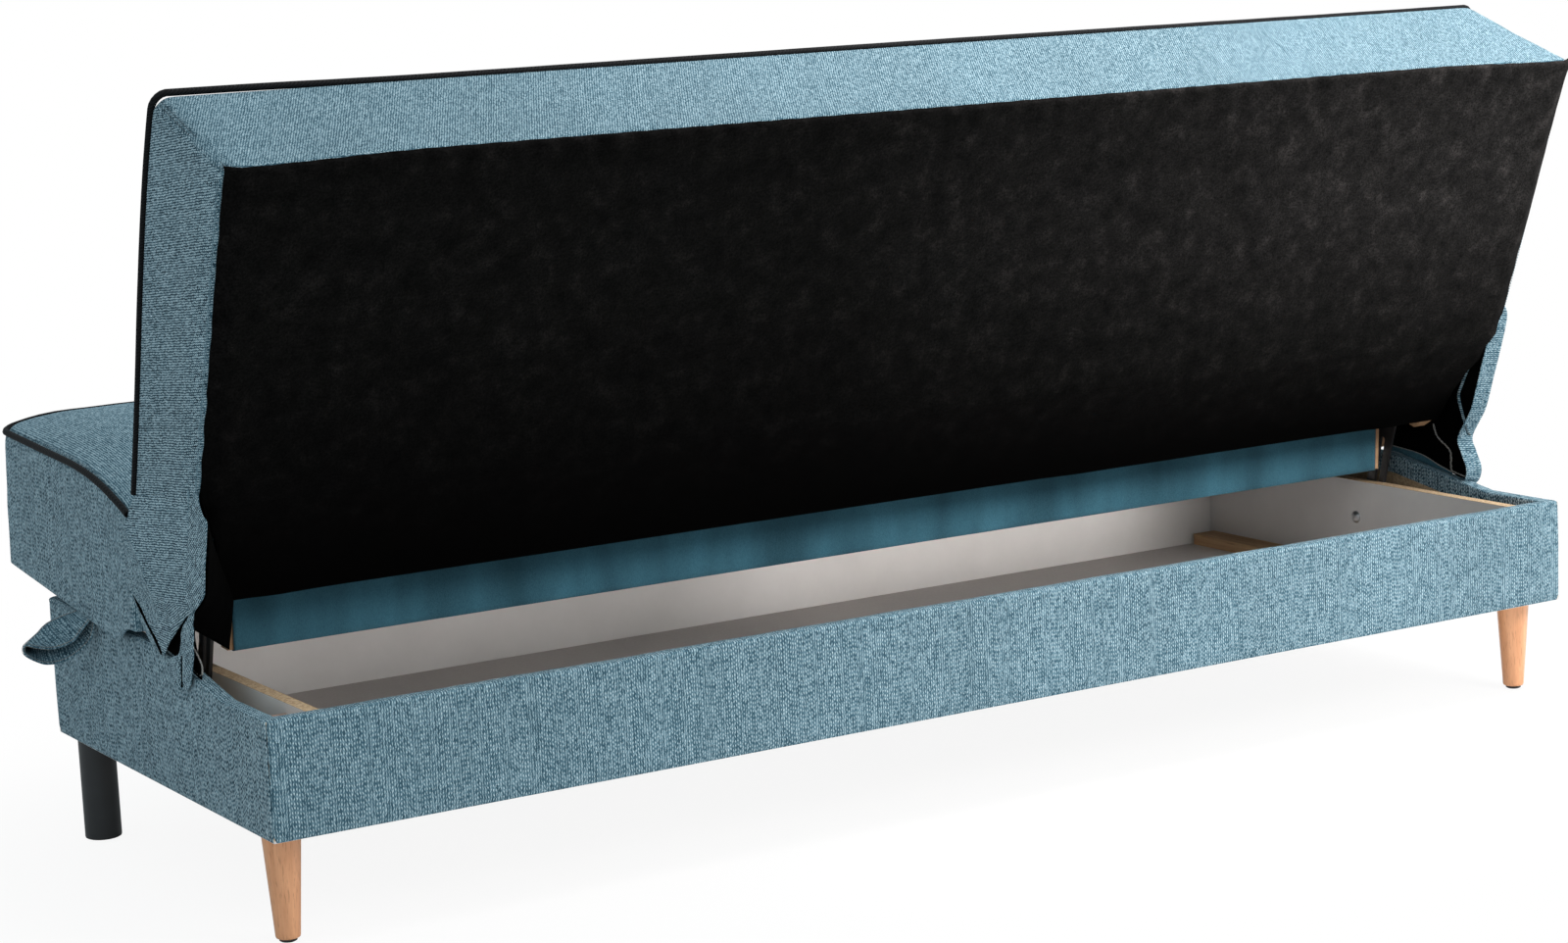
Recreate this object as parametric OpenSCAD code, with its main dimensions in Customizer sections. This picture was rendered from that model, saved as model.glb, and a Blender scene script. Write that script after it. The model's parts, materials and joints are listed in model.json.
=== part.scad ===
// Three-seat sofa bed with a bedding box, a seat that lifts and a back that folds flat
// Millimetres, +Z up, the sofa's front faces -Y, origin on the floor at the middle of the outline

/* [Cushions] */
// Length of the seat and of the back
mattress_l = 1900; // [1700:10:2050]
// How far the cushions reach past each end board
end_overhang = 13; // [8:1:24]
// How far the seat's foot reaches past the front of the box
seat_overhang = 118; // [80:1:140]
// Thickness of the seat at its front
seat_t = 170; // [150:1:190]
// How much thinner the seat gets towards the back's foot
seat_dip = 33; // [26:1:44]
// Backward slope of the seat's front face over its height
seat_rake = 10; // [4:1:26]
// Nose-up tilt of the seat, degrees
seat_tilt = 3.1; // [2.6:0.1:3.6]
// Crown of the seat above its piping
seat_crown = 15; // [6:1:20]
// How far the seat's front edge rises from its corners
front_rise = 13; // [0:1:18]
// Lean of the back from upright, degrees
back_lean = 20.5; // [18:0.5:23]
// Height of the back's upholstery along its slope, above the pivot
back_top = 555; // [500:5:620]
// Thickness of the back's padding in front of its frame
back_pad = 134; // [110:1:144]
// Crown of the back's face
back_crown = 10; // [4:1:14]
// Forward bow of the back's face
back_bow = 8; // [4:1:16]
// How much thicker the back is at its top than at its foot
back_swell = 17; // [0:1:24]
// Corner radius of the cushions in plan
corner_r = 20; // [12:1:30]
// Radius of the round piping cord
piping_r = 4; // [3:0.5:5]

/* [Box] */
// Depth of the box over its boards
base_d = 679; // [660:1:720]
// Thickness of the laminated boards
board_t = 16; // [14:1:19]
// Height of the rear board and the partitions
rear_h = 131; // [120:1:135]
// Height of the front board
front_h = 166; // [150:1:170]
// Thickness of the hardboard floor
floor_t = 3; // [2:0.5:5]
// Clear width of the hinge bay at each end
bay_w = 39; // [36:1:46]
// Thickness of the woven cover
cover_t = 1.5; // [1:0.25:2]
// How far the cover turns down inside the rim
lip_h = 22; // [12:1:30]
// Width of the pine batten along each partition's foot
batten_w = 38; // [25:1:45]
// Height of that batten
batten_h = 16; // [10:1:20]
// Length of a corner block along the box
block_d = 60; // [50:1:70]

/* [Feet] */
// Height of the legs, floor to box
leg_h = 127; // [100:1:150]
// Diameter of a beech leg at its top
leg_top_d = 44; // [38:1:48]
// Diameter of a beech leg at its tip
leg_tip_d = 28; // [22:1:32]
// Diameter of a black front foot
foot_d = 45; // [36:1:48]
// Diameter of the stud in each leg
stud_d = 8; // [6:1:10]
// Distance from a leg's centre to the front or rear face of the box
leg_in_y = 56; // [45:1:62]

/* [Mechanism] */
// Pivot of the back behind the middle of the box
back_pivot_y = 68; // [64:1:74]
// Pivot of the seat behind the middle of the box
seat_pivot_y = 16; // [12:1:18]
// Height of the seat's pivot above the box rim
seat_pivot_up = 174; // [168:1:176]
// Thickness of the steel plates
plate_t = 4; // [3:0.5:5]
// Diameter of the pivot pins
pin_d = 10; // [8:1:12]
// Radial play of a pin in its holes
pin_play = 0.05; // [0.02:0.01:0.1]

/* [Frames] */
// Width of a frame rail
rail_w = 20; // [16:1:24]
// Depth of the seat frame
seat_rail_h = 49; // [40:1:52]
// Depth of the back frame
back_rail_h = 51; // [44:1:54]
// Thickness of the hardboard decks
deck_t = 3.5; // [3:0.5:4]
// Thickness of the dust covers
dust_t = 1.3; // [0.8:0.1:2]

/* [Pull straps] */
// Width of a strap
strap_w = 50; // [25:1:60]
// Thickness of a strap
strap_t = 3; // [2:0.5:4]
// Distance from a strap's middle to the seat's front edge
strap_in = 275; // [200:5:330]
// How far a strap's loop stands out past the cushion's end
strap_out = 83; // [60:1:110]
// How much less the strap's front edge reaches out, per width
strap_skew = 0.3; // [0:0.05:0.6]

/* [Hidden] */
$fn = 64;
half = mattress_l / 2;
board_x = half - end_overhang;
inner_x = board_x - board_t;
part_x1 = inner_x - bay_w;
part_x0 = part_x1 - board_t;
yb = base_d / 2;
yi = yb - board_t;
floor_z = leg_h + floor_t;
rim_z = floor_z + rear_h;
front_z = floor_z + front_h;
gap = 0.3;

// The back lies on the rear rim when flat, this far above it
rest_gap = 0.5;
rest_z = rim_z + cover_t + rest_gap;
// Distance from the back's pivot to the rear face of its dust cover
back_drop = 111;
back_pivot_z = rest_z + back_drop;
seat_pivot_z = rim_z + seat_pivot_up;

// Rear face of the back frame, its deck and its padding, behind the pivot
frame_n1 = back_drop - dust_t - gap;
frame_n0 = frame_n1 - back_rail_h;
deck_n0 = frame_n0 - gap - deck_t;
pad_n1 = deck_n0 - gap;
pad_n0 = pad_n1 - back_pad;
// Heights along the back's slope, above the pivot
pad_u0 = 45;
pad_end_u0 = 58;
taper_u = 153;
tail_n = 58;
frame_u1 = back_top - 6;

// Layers across each hinge bay, from the partition outwards
plate_x0 = part_x1;
plate_x1 = plate_x0 + plate_t;
arm_x0 = plate_x1 + 1;
arm_x1 = arm_x0 + plate_t;
rail_x0 = arm_x1 + 0.2;
rail_x1 = rail_x0 + rail_w;
skirt_x0 = rail_x1 + 1;
tail_x = part_x1 - 7;
mid_x = part_x0 - 1;

// The seat's own frame starts at its rear bottom line, tilted nose-up
seat_z = rim_z + 45;
seat_y0 = -(yb + seat_overhang);
seat_y1 = 61;
seat_end_y = -8;
seat_deck_z = seat_rail_h + 1 + gap;
seat_pad_z = seat_deck_z + deck_t + gap;
back_rail_y = seat_y1 - rail_w;
dip_len = 206;

// The outline's ends along Y, which set the origin
y_low = (seat_y0 + seat_rake * 0.06) * cos(seat_tilt) + seat_t * 0.06 * sin(seat_tilt);
y_high = back_pivot_y + (back_top - 5) * sin(back_lean) + back_drop * cos(back_lean);
base_y = -(y_low + y_high) / 2;

rear_leg_x = board_x - 31;
front_foot_x = board_x - 26;
leg_y = yb - leg_in_y;

wood = [0.80, 0.62, 0.42];
beech = [0.83, 0.60, 0.40];
fabric = [0.36, 0.52, 0.60];
black = [0.06, 0.06, 0.07];
laminate = [0.80, 0.79, 0.78];
steel = [0.72, 0.73, 0.75];

// Helpers

// Puts what is drawn round the middle of the box into the sofa's frame
module placed() {
    translate([0, base_y, 0]) children();
}

// The seat's frame: y runs to the rear, z up from its bottom face
module at_seat() {
    placed() translate([0, 0, seat_z]) rotate([-seat_tilt, 0, 0]) children();
}

// The back's frame: y runs rearward from the pivot, z up its slope
module at_back() {
    placed() translate([0, back_pivot_y, back_pivot_z]) rotate([-back_lean, 0, 0]) children();
}

// The left end is +X, the right end its mirror image
module ends(side) {
    if (side > 0) {
        children();
    } else {
        mirror([1, 0, 0]) children();
    }
}

// An outline drawn in (y, z), extruded along X from x0 to x1
module slab_x(x0, x1) {
    translate([x0, 0, 0]) rotate([90, 0, 90]) linear_extrude(x1 - x0) children();
}

module box_at(x0, x1, y0, y1, z0, z1) {
    translate([x0, y0, z0]) cube([x1 - x0, y1 - y0, z1 - z0]);
}

function unit(v) = v / norm(v);

// A flat bar with round ends, between two points of a plane
module bar(a, b, w) {
    d = b - a;
    translate(a) circle(d = w);
    translate(b) circle(d = w);
    translate(a) rotate(atan2(d[1], d[0])) translate([0, -w / 2]) square([norm(d), w]);
}

// A bar bent at b, with round ends at a and c and a mitred corner
module bent_bar(a, b, c, w) {
    u = unit(b - a);
    v = unit(c - b);
    m = unit([-u[1] - v[1], u[0] + v[0]]);
    k = w / 2 / (m * [-u[1], u[0]]);
    translate(a) circle(d = w);
    translate(c) circle(d = w);
    polygon([a + w / 2 * [-u[1], u[0]], b + k * m, c + w / 2 * [-v[1], v[0]],
        c - w / 2 * [-v[1], v[0]], b - k * m, a - w / 2 * [-u[1], u[0]]]);
}

// A point of the seat's frame, seen from the middle of the box
function seat_pt(p) = [p[0] * cos(seat_tilt) + p[1] * sin(seat_tilt),
    seat_z - p[0] * sin(seat_tilt) + p[1] * cos(seat_tilt)];
// A point of the back's frame, seen from the middle of the box
function back_pt(p) = [back_pivot_y + p[0] * cos(back_lean) + p[1] * sin(back_lean),
    back_pivot_z - p[0] * sin(back_lean) + p[1] * cos(back_lean)];

// A smooth curve through points, k steps to each span
function spline(p, k) = [for (i = [0:len(p) - 2]) for (j = [0:k - 1])
    let (a = p[max(i - 1, 0)], b = p[i], c = p[i + 1], d = p[min(i + 2, len(p) - 1)], t = j / k)
    0.5 * ((2 * b) + (c - a) * t + (2 * a - 5 * b + 4 * c - d) * t * t + (3 * b - a - 3 * c + d) * t * t * t)];

// A closed skin over rings of equal length, each end closed by a fan round its own middle point
module loft(rings, mid_a, mid_b) {
    n = len(rings[0]);
    m = len(rings);
    pts = concat([for (r = rings) each r], [mid_a, mid_b]);
    sides = [for (i = [0:m - 2]) for (j = [0:n - 1])
        let (a = i * n + j, b = i * n + (j + 1) % n, c = a + n, d = b + n)
        each [[a, b, c], [b, d, c]]];
    low = [for (j = [0:n - 1]) [n * m, (j + 1) % n, j]];
    high = [for (j = [0:n - 1]) [n * m + 1, (m - 1) * n + j, (m - 1) * n + (j + 1) % n]];
    polyhedron(points = pts, faces = concat(sides, low, high), convexity = 6);
}

function clamp(v) = min(1, max(0, v));
function mean(r) = let (one = [for (q = r) 1]) one * r / len(r);

// A round cord swept along points, with a flat cap at each end
module cord(p, r, k) {
    n = len(p);
    rings = [for (i = [0:n - 1])
        let (t = unit(p[min(i + 1, n - 1)] - p[max(i - 1, 0)]),
            s = unit(cross(t, abs(t[2]) > 0.9 ? [0, 1, 0] : [0, 0, 1])), u = cross(s, t))
        [for (j = [0:k - 1]) p[i] + r * (cos(360 * j / k) * s + sin(360 * j / k) * u)]];
    loft([for (i = [n - 1:-1:0]) rings[i]], p[n - 1], p[0]);
}

// Box: boards, partitions, floor and feet

// End profile: level behind, then rising under the seat
module end_profile(up) {
    polygon([[-yb, floor_z], [yb, floor_z], [yb, rim_z + up], [215, rim_z + up],
        [30, rim_z + 32 + up], [-yb, front_z + up]]);
}

module end_board(side) {
    color(wood) placed() ends(side) slab_x(inner_x, board_x) end_profile(0);
}

module rear_board() {
    color(laminate) placed() box_at(-inner_x, inner_x, yi, yb, floor_z, rim_z);
}

module front_board() {
    color(laminate) placed() box_at(-inner_x, inner_x, -yb, -yi, floor_z, front_z);
}

module partition(side) {
    color(laminate) placed() ends(side) difference() {
        box_at(part_x0, part_x1, -yi + cover_t + gap, yi - cover_t - gap, floor_z, rim_z);
        translate([0, bolt_y, bolt_z]) rotate([0, 90, 0]) cylinder(h = part_x1 + 1, d = bolt_d + 0.1);
        for (q = screw_at) {
            translate([part_x1 - 12, q[0], q[1]]) rotate([0, 90, 0]) cylinder(h = 20, d = screw_d + 0.1);
        }
    }
}

module chest_floor() {
    color([0.55, 0.50, 0.46]) placed() difference() {
        box_at(-board_x, board_x, -yb, yb, leg_h, floor_z);
        leg_places() translate([0, 0, leg_h - 1]) cylinder(h = floor_t + 2, d = stud_d + 0.1);
    }
}

module floor_battens() {
    color(wood) placed() for (s = [-1, 1]) {
        ends(s) box_at(part_x0 - gap - batten_w, part_x0 - gap, -yi + 8, yi - 24, floor_z, floor_z + batten_h);
    }
}

module leg_places() {
    for (s = [-1, 1]) {
        translate([s * rear_leg_x, leg_y, 0]) children();
        translate([s * front_foot_x, -leg_y, 0]) children();
    }
}

// Glued into the hinge bays behind and in front of the brackets
module corner_blocks(face) {
    color([0.78, 0.58, 0.46]) placed() for (s = [-1, 1]) {
        ends(s) difference() {
            mirror([0, face < 0 ? 1 : 0, 0])
                box_at(part_x1 + gap, inner_x - cover_t - gap, yi - cover_t - gap - block_d,
                    yi - cover_t - gap, floor_z, rim_z - 12);
            translate([face > 0 ? rear_leg_x : front_foot_x, face * leg_y, floor_z - 1])
                cylinder(h = 41, d = stud_d + 0.1);
        }
    }
}

// One sewn sleeve of fabric: outside faces, rounded rim and a lip turned inside
module base_cover() {
    color(fabric) placed() difference() {
        intersection() {
            box_at(-board_x - cover_t, board_x + cover_t, -yb - cover_t, yb + cover_t, leg_h, front_z + 40);
            slab_x(-half, half) polygon([[-yb - cover_t, leg_h], [yb + cover_t, leg_h],
                [yb + cover_t, rim_z + cover_t], [215, rim_z + cover_t],
                [30, rim_z + 32 + cover_t], [-yb - cover_t, front_z + cover_t]]);
        }
        // The boards
        for (s = [-1, 1]) {
            ends(s) slab_x(inner_x, board_x) end_profile(0);
        }
        box_at(-board_x, board_x, yi, yb, leg_h - 1, rim_z);
        box_at(-board_x, board_x, -yb, -yi, leg_h - 1, front_z);
        box_at(-board_x, board_x, -yb, yb, leg_h - 1, rim_z - lip_h);
        // Everything inside the lip
        box_at(-inner_x + cover_t, inner_x - cover_t, -yi + cover_t, yi - cover_t, leg_h, front_z + 60);
        // The lip follows the rising end boards
        for (s = [-1, 1]) {
            ends(s) slab_x(inner_x - cover_t - 1, inner_x) polygon([[-yi, floor_z], [yi, floor_z],
                [yi, rim_z - lip_h], [215, rim_z - lip_h], [30, rim_z + 32 - lip_h], [-yi, front_z - lip_h]]);
        }
        box_at(-inner_x, inner_x, -yi, -yi + cover_t + 1, leg_h, front_z - lip_h);
    }
}

// Turned beech leg, revolved, with a flat top and a rounded lower edge
glide_h = 4;
module leg_rear(side) {
    color(beech) placed() ends(side) translate([rear_leg_x, leg_y, 0]) difference() {
        rotate_extrude() polygon([[0, glide_h], [leg_tip_d / 2 - 2, glide_h], [leg_tip_d / 2 - 0.6, glide_h + 0.8],
            [leg_tip_d / 2, glide_h + 2.4], [leg_top_d / 2 - 0.6, leg_h - 12], [leg_top_d / 2, leg_h - 4],
            [leg_top_d / 2, leg_h - 1], [leg_top_d / 2 - 1, leg_h], [0, leg_h]]);
        translate([0, 0, leg_h - 26]) cylinder(h = 27, d = stud_d + 0.1);
    }
}

module leg_glides() {
    color(black) placed() for (s = [-1, 1]) {
        translate([s * rear_leg_x, leg_y, 0]) rotate_extrude() polygon([[0, 0], [leg_tip_d / 2 - 6, 0],
            [leg_tip_d / 2 - 4, 1.2], [leg_tip_d / 2 - 4, glide_h], [0, glide_h]]);
    }
}

// Plain black front foot with a slightly eased lower edge
module foot_front(side) {
    color(black) placed() ends(side) translate([front_foot_x, -leg_y, 0]) difference() {
        rotate_extrude() polygon([[0, 0], [foot_d / 2 - 2, 0], [foot_d / 2 - 0.5, 0.8], [foot_d / 2, 2.4],
            [foot_d / 2, leg_h], [0, leg_h]]);
        translate([0, 0, leg_h - 26]) cylinder(h = 27, d = stud_d + 0.1);
    }
}

module leg_studs() {
    color(steel) placed() leg_places() translate([0, 0, leg_h - 25]) cylinder(h = 25 + floor_t + 38, d = stud_d);
}

// Mechanism: a fixed bracket in each hinge bay, one arm to the seat and one to the back

bolt_d = 8;
bolt_y = 10;
bolt_z = floor_z + 78;
screw_d = 4.5;
screw_at = [[-28, floor_z + 40], [-28, floor_z + 100], [52, floor_z + 40]];
back_pin = [back_pivot_y, back_pivot_z];
seat_pin = [seat_pivot_y, seat_pivot_z];

module bracket_outline() {
    difference() {
        union() {
            bar([bolt_y + 12, bolt_z + 16], back_pin, 34);
            bar(seat_pin, back_pin, 26);
            translate([-44, floor_z + 22]) square([112, 96]);
        }
        translate(back_pin) circle(d = pin_d + 2 * pin_play);
        translate(seat_pin) circle(d = pin_d + 2 * pin_play);
        translate([bolt_y, bolt_z]) circle(d = bolt_d + 0.1);
        for (q = screw_at) {
            translate(q) circle(d = screw_d + 0.1);
        }
        // A long lightening slot up the stem
        bar([bolt_y + 26, bolt_z + 50], back_pin - [17, 52], 9);
    }
}

module bracket(side) {
    color(black) placed() ends(side) slab_x(plate_x0, plate_x1) bracket_outline();
}

// Domed bolt heads show on the inside of the partitions
module bracket_bolts() {
    color(steel) placed() for (s = [-1, 1]) {
        ends(s) translate([0, bolt_y, bolt_z]) rotate([0, 90, 0]) rotate_extrude() polygon([
            [0, part_x0 - 4.4], [3, part_x0 - 4.2], [6, part_x0 - 3.2], [8.2, part_x0 - 1.4], [8.6, part_x0],
            [bolt_d / 2, part_x0], [bolt_d / 2, plate_x1], [7, plate_x1], [7, plate_x1 + 5], [0, plate_x1 + 5]]);
    }
}

module bracket_screws() {
    color(steel) placed() for (s = [-1, 1]) {
        ends(s) for (q = screw_at) {
            translate([part_x1 - 11, q[0], q[1]]) rotate([0, 90, 0]) rotate_extrude() polygon([[0, 0],
                [screw_d / 2, 3], [screw_d / 2, 11 + plate_t], [4.4, 11 + plate_t], [3, 13 + plate_t], [0, 13.4 + plate_t]]);
        }
    }
}

// Shoulder pin: domed head inside, spacer between the plates, nut outside
module pivot_pin(at) {
    ends_pair() translate([0, at[0], at[1]]) rotate([0, 90, 0]) rotate_extrude() polygon([
        [0, plate_x0 - 4], [4, plate_x0 - 3.4], [7.4, plate_x0 - 1.6], [8, plate_x0], [pin_d / 2, plate_x0],
        [pin_d / 2, plate_x1], [9, plate_x1], [9, arm_x0 - 0.1], [pin_d / 2, arm_x0 - 0.1],
        [pin_d / 2, arm_x1 + 0.2], [8, arm_x1 + 0.2], [8, arm_x1 + 4.6], [7, arm_x1 + 5.2], [0, arm_x1 + 5.2]]);
}

module ends_pair() {
    children();
    mirror([1, 0, 0]) children();
}

module back_pivot_pins() {
    color(steel) placed() pivot_pin(back_pin);
}

module seat_pivot_pins() {
    color(steel) placed() pivot_pin(seat_pin);
}

// Seat arm: down from the pivot, then forward along the inside of the side rail
arm_w = 24;
seat_arm_z = seat_rail_h / 2 + 1;
seat_knee = seat_pt([4, seat_arm_z]);
seat_toe = seat_pt([-170, seat_arm_z]);
seat_screw_at = [for (y = [-40, -98, -156]) seat_pt([y, seat_arm_z])];
module seat_arm(side) {
    color(black) placed() ends(side) slab_x(arm_x0, arm_x1) difference() {
        bent_bar(seat_pin, seat_knee, seat_toe, arm_w);
        translate(seat_pin) circle(d = pin_d + 2 * pin_play);
        for (q = seat_screw_at) {
            translate(q) circle(d = screw_d + 0.1);
        }
    }
}

// Back arm: from the pivot rearward, then up along the inside of the side rail
back_knee = [60, 44];
back_toe = [frame_n0 + 28, 165];
back_screw_at = [for (t = [0.34, 0.64, 0.94]) back_knee + (back_toe - back_knee) * t];
module back_arm(side) {
    color(black) at_back() ends(side) slab_x(arm_x0, arm_x1) difference() {
        union() {
            bar([0, 0], back_knee, 20);
            circle(d = 32);
            bar(back_knee, back_toe, 14);
        }
        circle(d = pin_d + 2 * pin_play);
        for (q = back_screw_at) {
            translate(q) circle(d = screw_d + 0.1);
        }
    }
}

module arm_screw() {
    rotate([0, 90, 0]) rotate_extrude() polygon([[0, arm_x0 - 0.9], [3, arm_x0 - 0.7], [4, arm_x0],
        [screw_d / 2, arm_x0], [screw_d / 2, arm_x1 + 9], [0, arm_x1 + 12]]);
}

module seat_arm_screws() {
    color(steel) placed() for (q = seat_screw_at) {
        ends_pair() translate([0, q[0], q[1]]) arm_screw();
    }
}

module back_arm_screws() {
    color(steel) at_back() for (q = back_screw_at) {
        ends_pair() translate([0, q[0], q[1]]) arm_screw();
    }
}

module screw_hole() {
    rotate([0, 90, 0]) cylinder(h = arm_x1 + 12.5, d = screw_d + 0.1);
}

// Seat frame

module seat_rail_front() {
    color(wood) at_seat() box_at(-rail_x1, rail_x1, seat_y0 + seat_rake + 2, seat_y0 + seat_rake + 2 + rail_w,
        1, 1 + seat_rail_h);
}

// The rear rail hangs lower than the rest and shows under the back
rear_rail_z = -19;
module seat_rail_rear() {
    color(wood) at_seat() box_at(-mid_x, mid_x, back_rail_y, seat_y1, rear_rail_z, 1 + seat_rail_h);
}

module seat_rail_side(side) {
    color(wood) difference() {
        at_seat() ends(side) slab_x(rail_x0, rail_x1) polygon([[seat_y0 + seat_rake + 2 + rail_w + gap, 1],
            [22, 1], [28, 7], [28, seat_rail_h - 5], [22, 1 + seat_rail_h],
            [seat_y0 + seat_rake + 2 + rail_w + gap, 1 + seat_rail_h]]);
        placed() for (q = seat_screw_at) {
            ends(side) translate([0, q[0], q[1]]) screw_hole();
        }
    }
}

// Lengthwise bars between the front and the rear rail
module seat_bars() {
    color(wood) at_seat() for (s = [-1, 1]) {
        for (x = [mid_x - rail_w, (mid_x - rail_w) / 3]) {
            ends(s) box_at(x, x + rail_w, seat_y0 + seat_rake + 2 + rail_w + gap, back_rail_y - gap, 4, 1 + seat_rail_h);
        }
    }
}

module seat_deck() {
    color([0.55, 0.42, 0.30]) at_seat() translate([0, 0, seat_deck_z]) linear_extrude(deck_t) polygon([
        [-rail_x1, seat_y0 + seat_rake + 3.5], [rail_x1, seat_y0 + seat_rake + 3.5], [rail_x1, seat_end_y - 1],
        [mid_x, seat_end_y - 1], [mid_x, seat_y1], [-mid_x, seat_y1], [-mid_x, seat_end_y - 1],
        [-rail_x1, seat_end_y - 1]]);
}

// Height of the seat's top line above its bottom, along y
function seat_top(y) = seat_t - seat_dip * pow(max(0, y + dip_len) / dip_len, 2);
// The front edge rises quickly from both corners
function rise(x) = front_rise * (1 - pow(clamp((abs(x) - half + 90) / 90), 2));
// The crown dies away at the ends, at the front and where the back stands on the seat
function crown_x(x) = 1 - pow(clamp((abs(x) - half + 260) / 260), 2.2);
function hump(v, v0, v1) = 1 - pow(min(1, abs(v - (v0 + v1) / 2) / ((v1 - v0) / 2)), 2.6);
chamfer = 9;
notch_x = mid_x + 2;
// Setback of a rounded corner in plan, and of the groove along the end edges
function corner_in(x) = let (d = abs(x) - half + corner_r) d > 0 ? corner_r - sqrt(max(0, corner_r * corner_r - d * d)) : 0;
function end_in(x) = chamfer * clamp((abs(x) - half + chamfer) / chamfer);
// Stations along the length, with a step on each side of a cut
function stations(cuts) = let (
        free = [0, 0.14, 0.28, 0.42, 0.55, 0.67, 0.77, 0.85],
        right = concat([for (f = free) f * half], [for (c = cuts) each [c, c + 0.4]],
            [for (e = [30, 20, 12, 9, 4, 1.2, 0]) half - e]))
    concat([for (i = [len(right) - 1:-1:1]) -right[i]], right);

// One cross-section of the seat, from the front foot over the top to the rear and back below
seat_front_y = seat_y0 + seat_rake;
function seat_section(x) = let (
        co = corner_in(x), ec = end_in(x), skirt = abs(x) > skirt_x0,
        yr = abs(x) > notch_x ? seat_end_y : seat_y1,
        zb = skirt ? 0 : seat_pad_z, yi = seat_front_y + 1,
        y0 = seat_front_y + co + chamfer, y1 = yr - (abs(x) > notch_x ? 6 : 16),
        tops = [for (k = [0:13]) y0 + (y1 - y0) * k / 13])
    concat([for (q = [[0, 3], [0.06, 0], [0.45, 2.5], [0.75, 1.5], [1 - chamfer / seat_t, 0]])
            [seat_y0 + seat_rake * q[0] + co + q[1], q[0] * (seat_t + rise(x)) - (q[0] > 0.9 ? ec : 0)]],
        [for (y = tops) [y, seat_top(y) - ec + rise(x) * clamp((-15 - y) / 260) + seat_crown * crown_x(x) * hump(y, seat_front_y, -15)]],
        [[yr - 2, seat_top(y1) - ec - 4], [yr, seat_top(y1) - ec - 14], [yr, zb],
            [max(yi, seat_y0 + co + 6) + 2, zb], [max(yi, seat_y0 + co + 6), zb > 0 ? zb - 1 : 0],
            [max(yi, seat_y0 + co + 5.5) - 0.2, 0]]);

// Padded block with a crowned top, drawn-in sides, a groove for the piping and room for the frame
module seat_cushion() {
    xs = stations([notch_x, skirt_x0]);
    rings = [for (x = xs) [for (q = seat_section(x)) [x, q[0], q[1]]]];
    m = [0, (seat_front_y + seat_end_y) / 2, seat_t * 0.45];
    dent = [for (f = [0.84, 0.6]) [for (q = rings[len(xs) - 1])
        [half - (f > 0.7 ? 1.6 : 2.8), m[1] + (q[1] - m[1]) * f, m[2] + (q[2] - m[2]) * f]]];
    flip = [for (i = [1, 0]) [for (q = dent[i]) [-q[0], q[1], q[2]]]];
    color(fabric) at_seat() loft(concat(flip, rings, dent), [-half + 3.2, m[1], m[2]], [half - 3.2, m[1], m[2]]);
}

// Piping along both ends and the front edge
function seat_pipe_path() = let (i = 0.8, x = half - i, y = seat_y0 + seat_rake + i, r = corner_r,
        steps = [for (k = [0:11]) seat_end_y - 4 + (y + r - seat_end_y + 4) * k / 12])
    concat([for (q = steps) [x, q]],
        [for (k = [0:4]) [x - r, y + r] + r * [cos(-90 * k / 4), sin(-90 * k / 4)]],
        [for (q = [912, 867, 760, 570, 380, 190, 0, -190, -380, -570, -760, -867, -912]) [q, y]],
        [for (k = [0:4]) [-x + r, y + r] + r * [cos(-90 - 90 * k / 4), sin(-90 - 90 * k / 4)]],
        [for (k = [11:-1:0]) [-x, steps[k]]]);
module seat_piping() {
    color(black) at_seat() cord([for (q = seat_pipe_path()) [q[0], q[1],
        seat_top(q[1]) - 0.7 + rise(q[0]) * clamp((-15 - q[1]) / 260)]], piping_r, 8);
}

// Fabric stapled round the rear rail, its ends left open
module seat_rear_wrap() {
    color(fabric) at_seat() union() {
        box_at(-mid_x, mid_x, seat_y1, seat_y1 + cover_t, rear_rail_z - cover_t, seat_pad_z + 40);
        box_at(-mid_x, mid_x, back_rail_y - cover_t, seat_y1 + cover_t, rear_rail_z - cover_t, rear_rail_z);
        box_at(-mid_x, mid_x, back_rail_y - cover_t, back_rail_y, rear_rail_z - cover_t, 0);
    }
}

module seat_dust_cover() {
    y0 = seat_y0 + 24;
    color(black) at_seat() union() {
        box_at(-rail_x1, rail_x1, y0, -60, 1 - gap - dust_t, 1 - gap);
        box_at(-part_x0 + 4, part_x0 - 4, -61, back_rail_y - cover_t - 1, 1 - gap - dust_t, 1 - gap);
    }
}

// Doubled strap: starts under the seat, hangs outside the box and curls outwards. It hangs askew, so its
// front edge reaches out less than its rear edge
strap_y = seat_y0 + strap_in - 5;
function strap_line() = let (x = half, w = strap_out) [
    [x - 38, -2.6], [x - 16, -2.8], [x - 4, -5], [x + 4, -14], [x + 9, -30], [x + 20, -42],
    [x + w * 0.6, -46], [x + w - 13, -43], [x + w - 4, -43.5], [x + w, -48], [x + w - 5, -52.5],
    [x + w * 0.62, -59], [x + 24, -59], [x + 5, -47], [x - 3, -28], [x - 7, -13],
    [x - 18, -7.6], [x - 38, -7]];
function askew(x, f) = x < half + 6 ? x : half + 6 + (x - half - 6) * (1 - strap_skew * f);
module pull_strap(side) {
    p = strap_line();
    line = concat(spline(p, 4), [p[len(p) - 1]]);
    m = len(line);
    t = strap_t / 2;
    normals = [for (i = [0:m - 1]) let (v = unit(line[min(i + 1, m - 1)] - line[max(i - 1, 0)])) [v[1], -v[0]]];
    rings = [for (i = [0:m - 1]) let (a = line[i] + normals[i] * t, b = line[i] - normals[i] * t)
        [for (q = [[a, 0], [a, 1], [b, 1], [b, 0]])
            [askew(q[0][0], q[1]), strap_y + strap_w * (0.5 - q[1]), q[0][1]]]];
    color(fabric) at_seat() ends(side)
        loft([for (i = [m - 1:-1:0]) rings[i]], mean(rings[m - 1]), mean(rings[0]));
}

// Back frame

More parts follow.
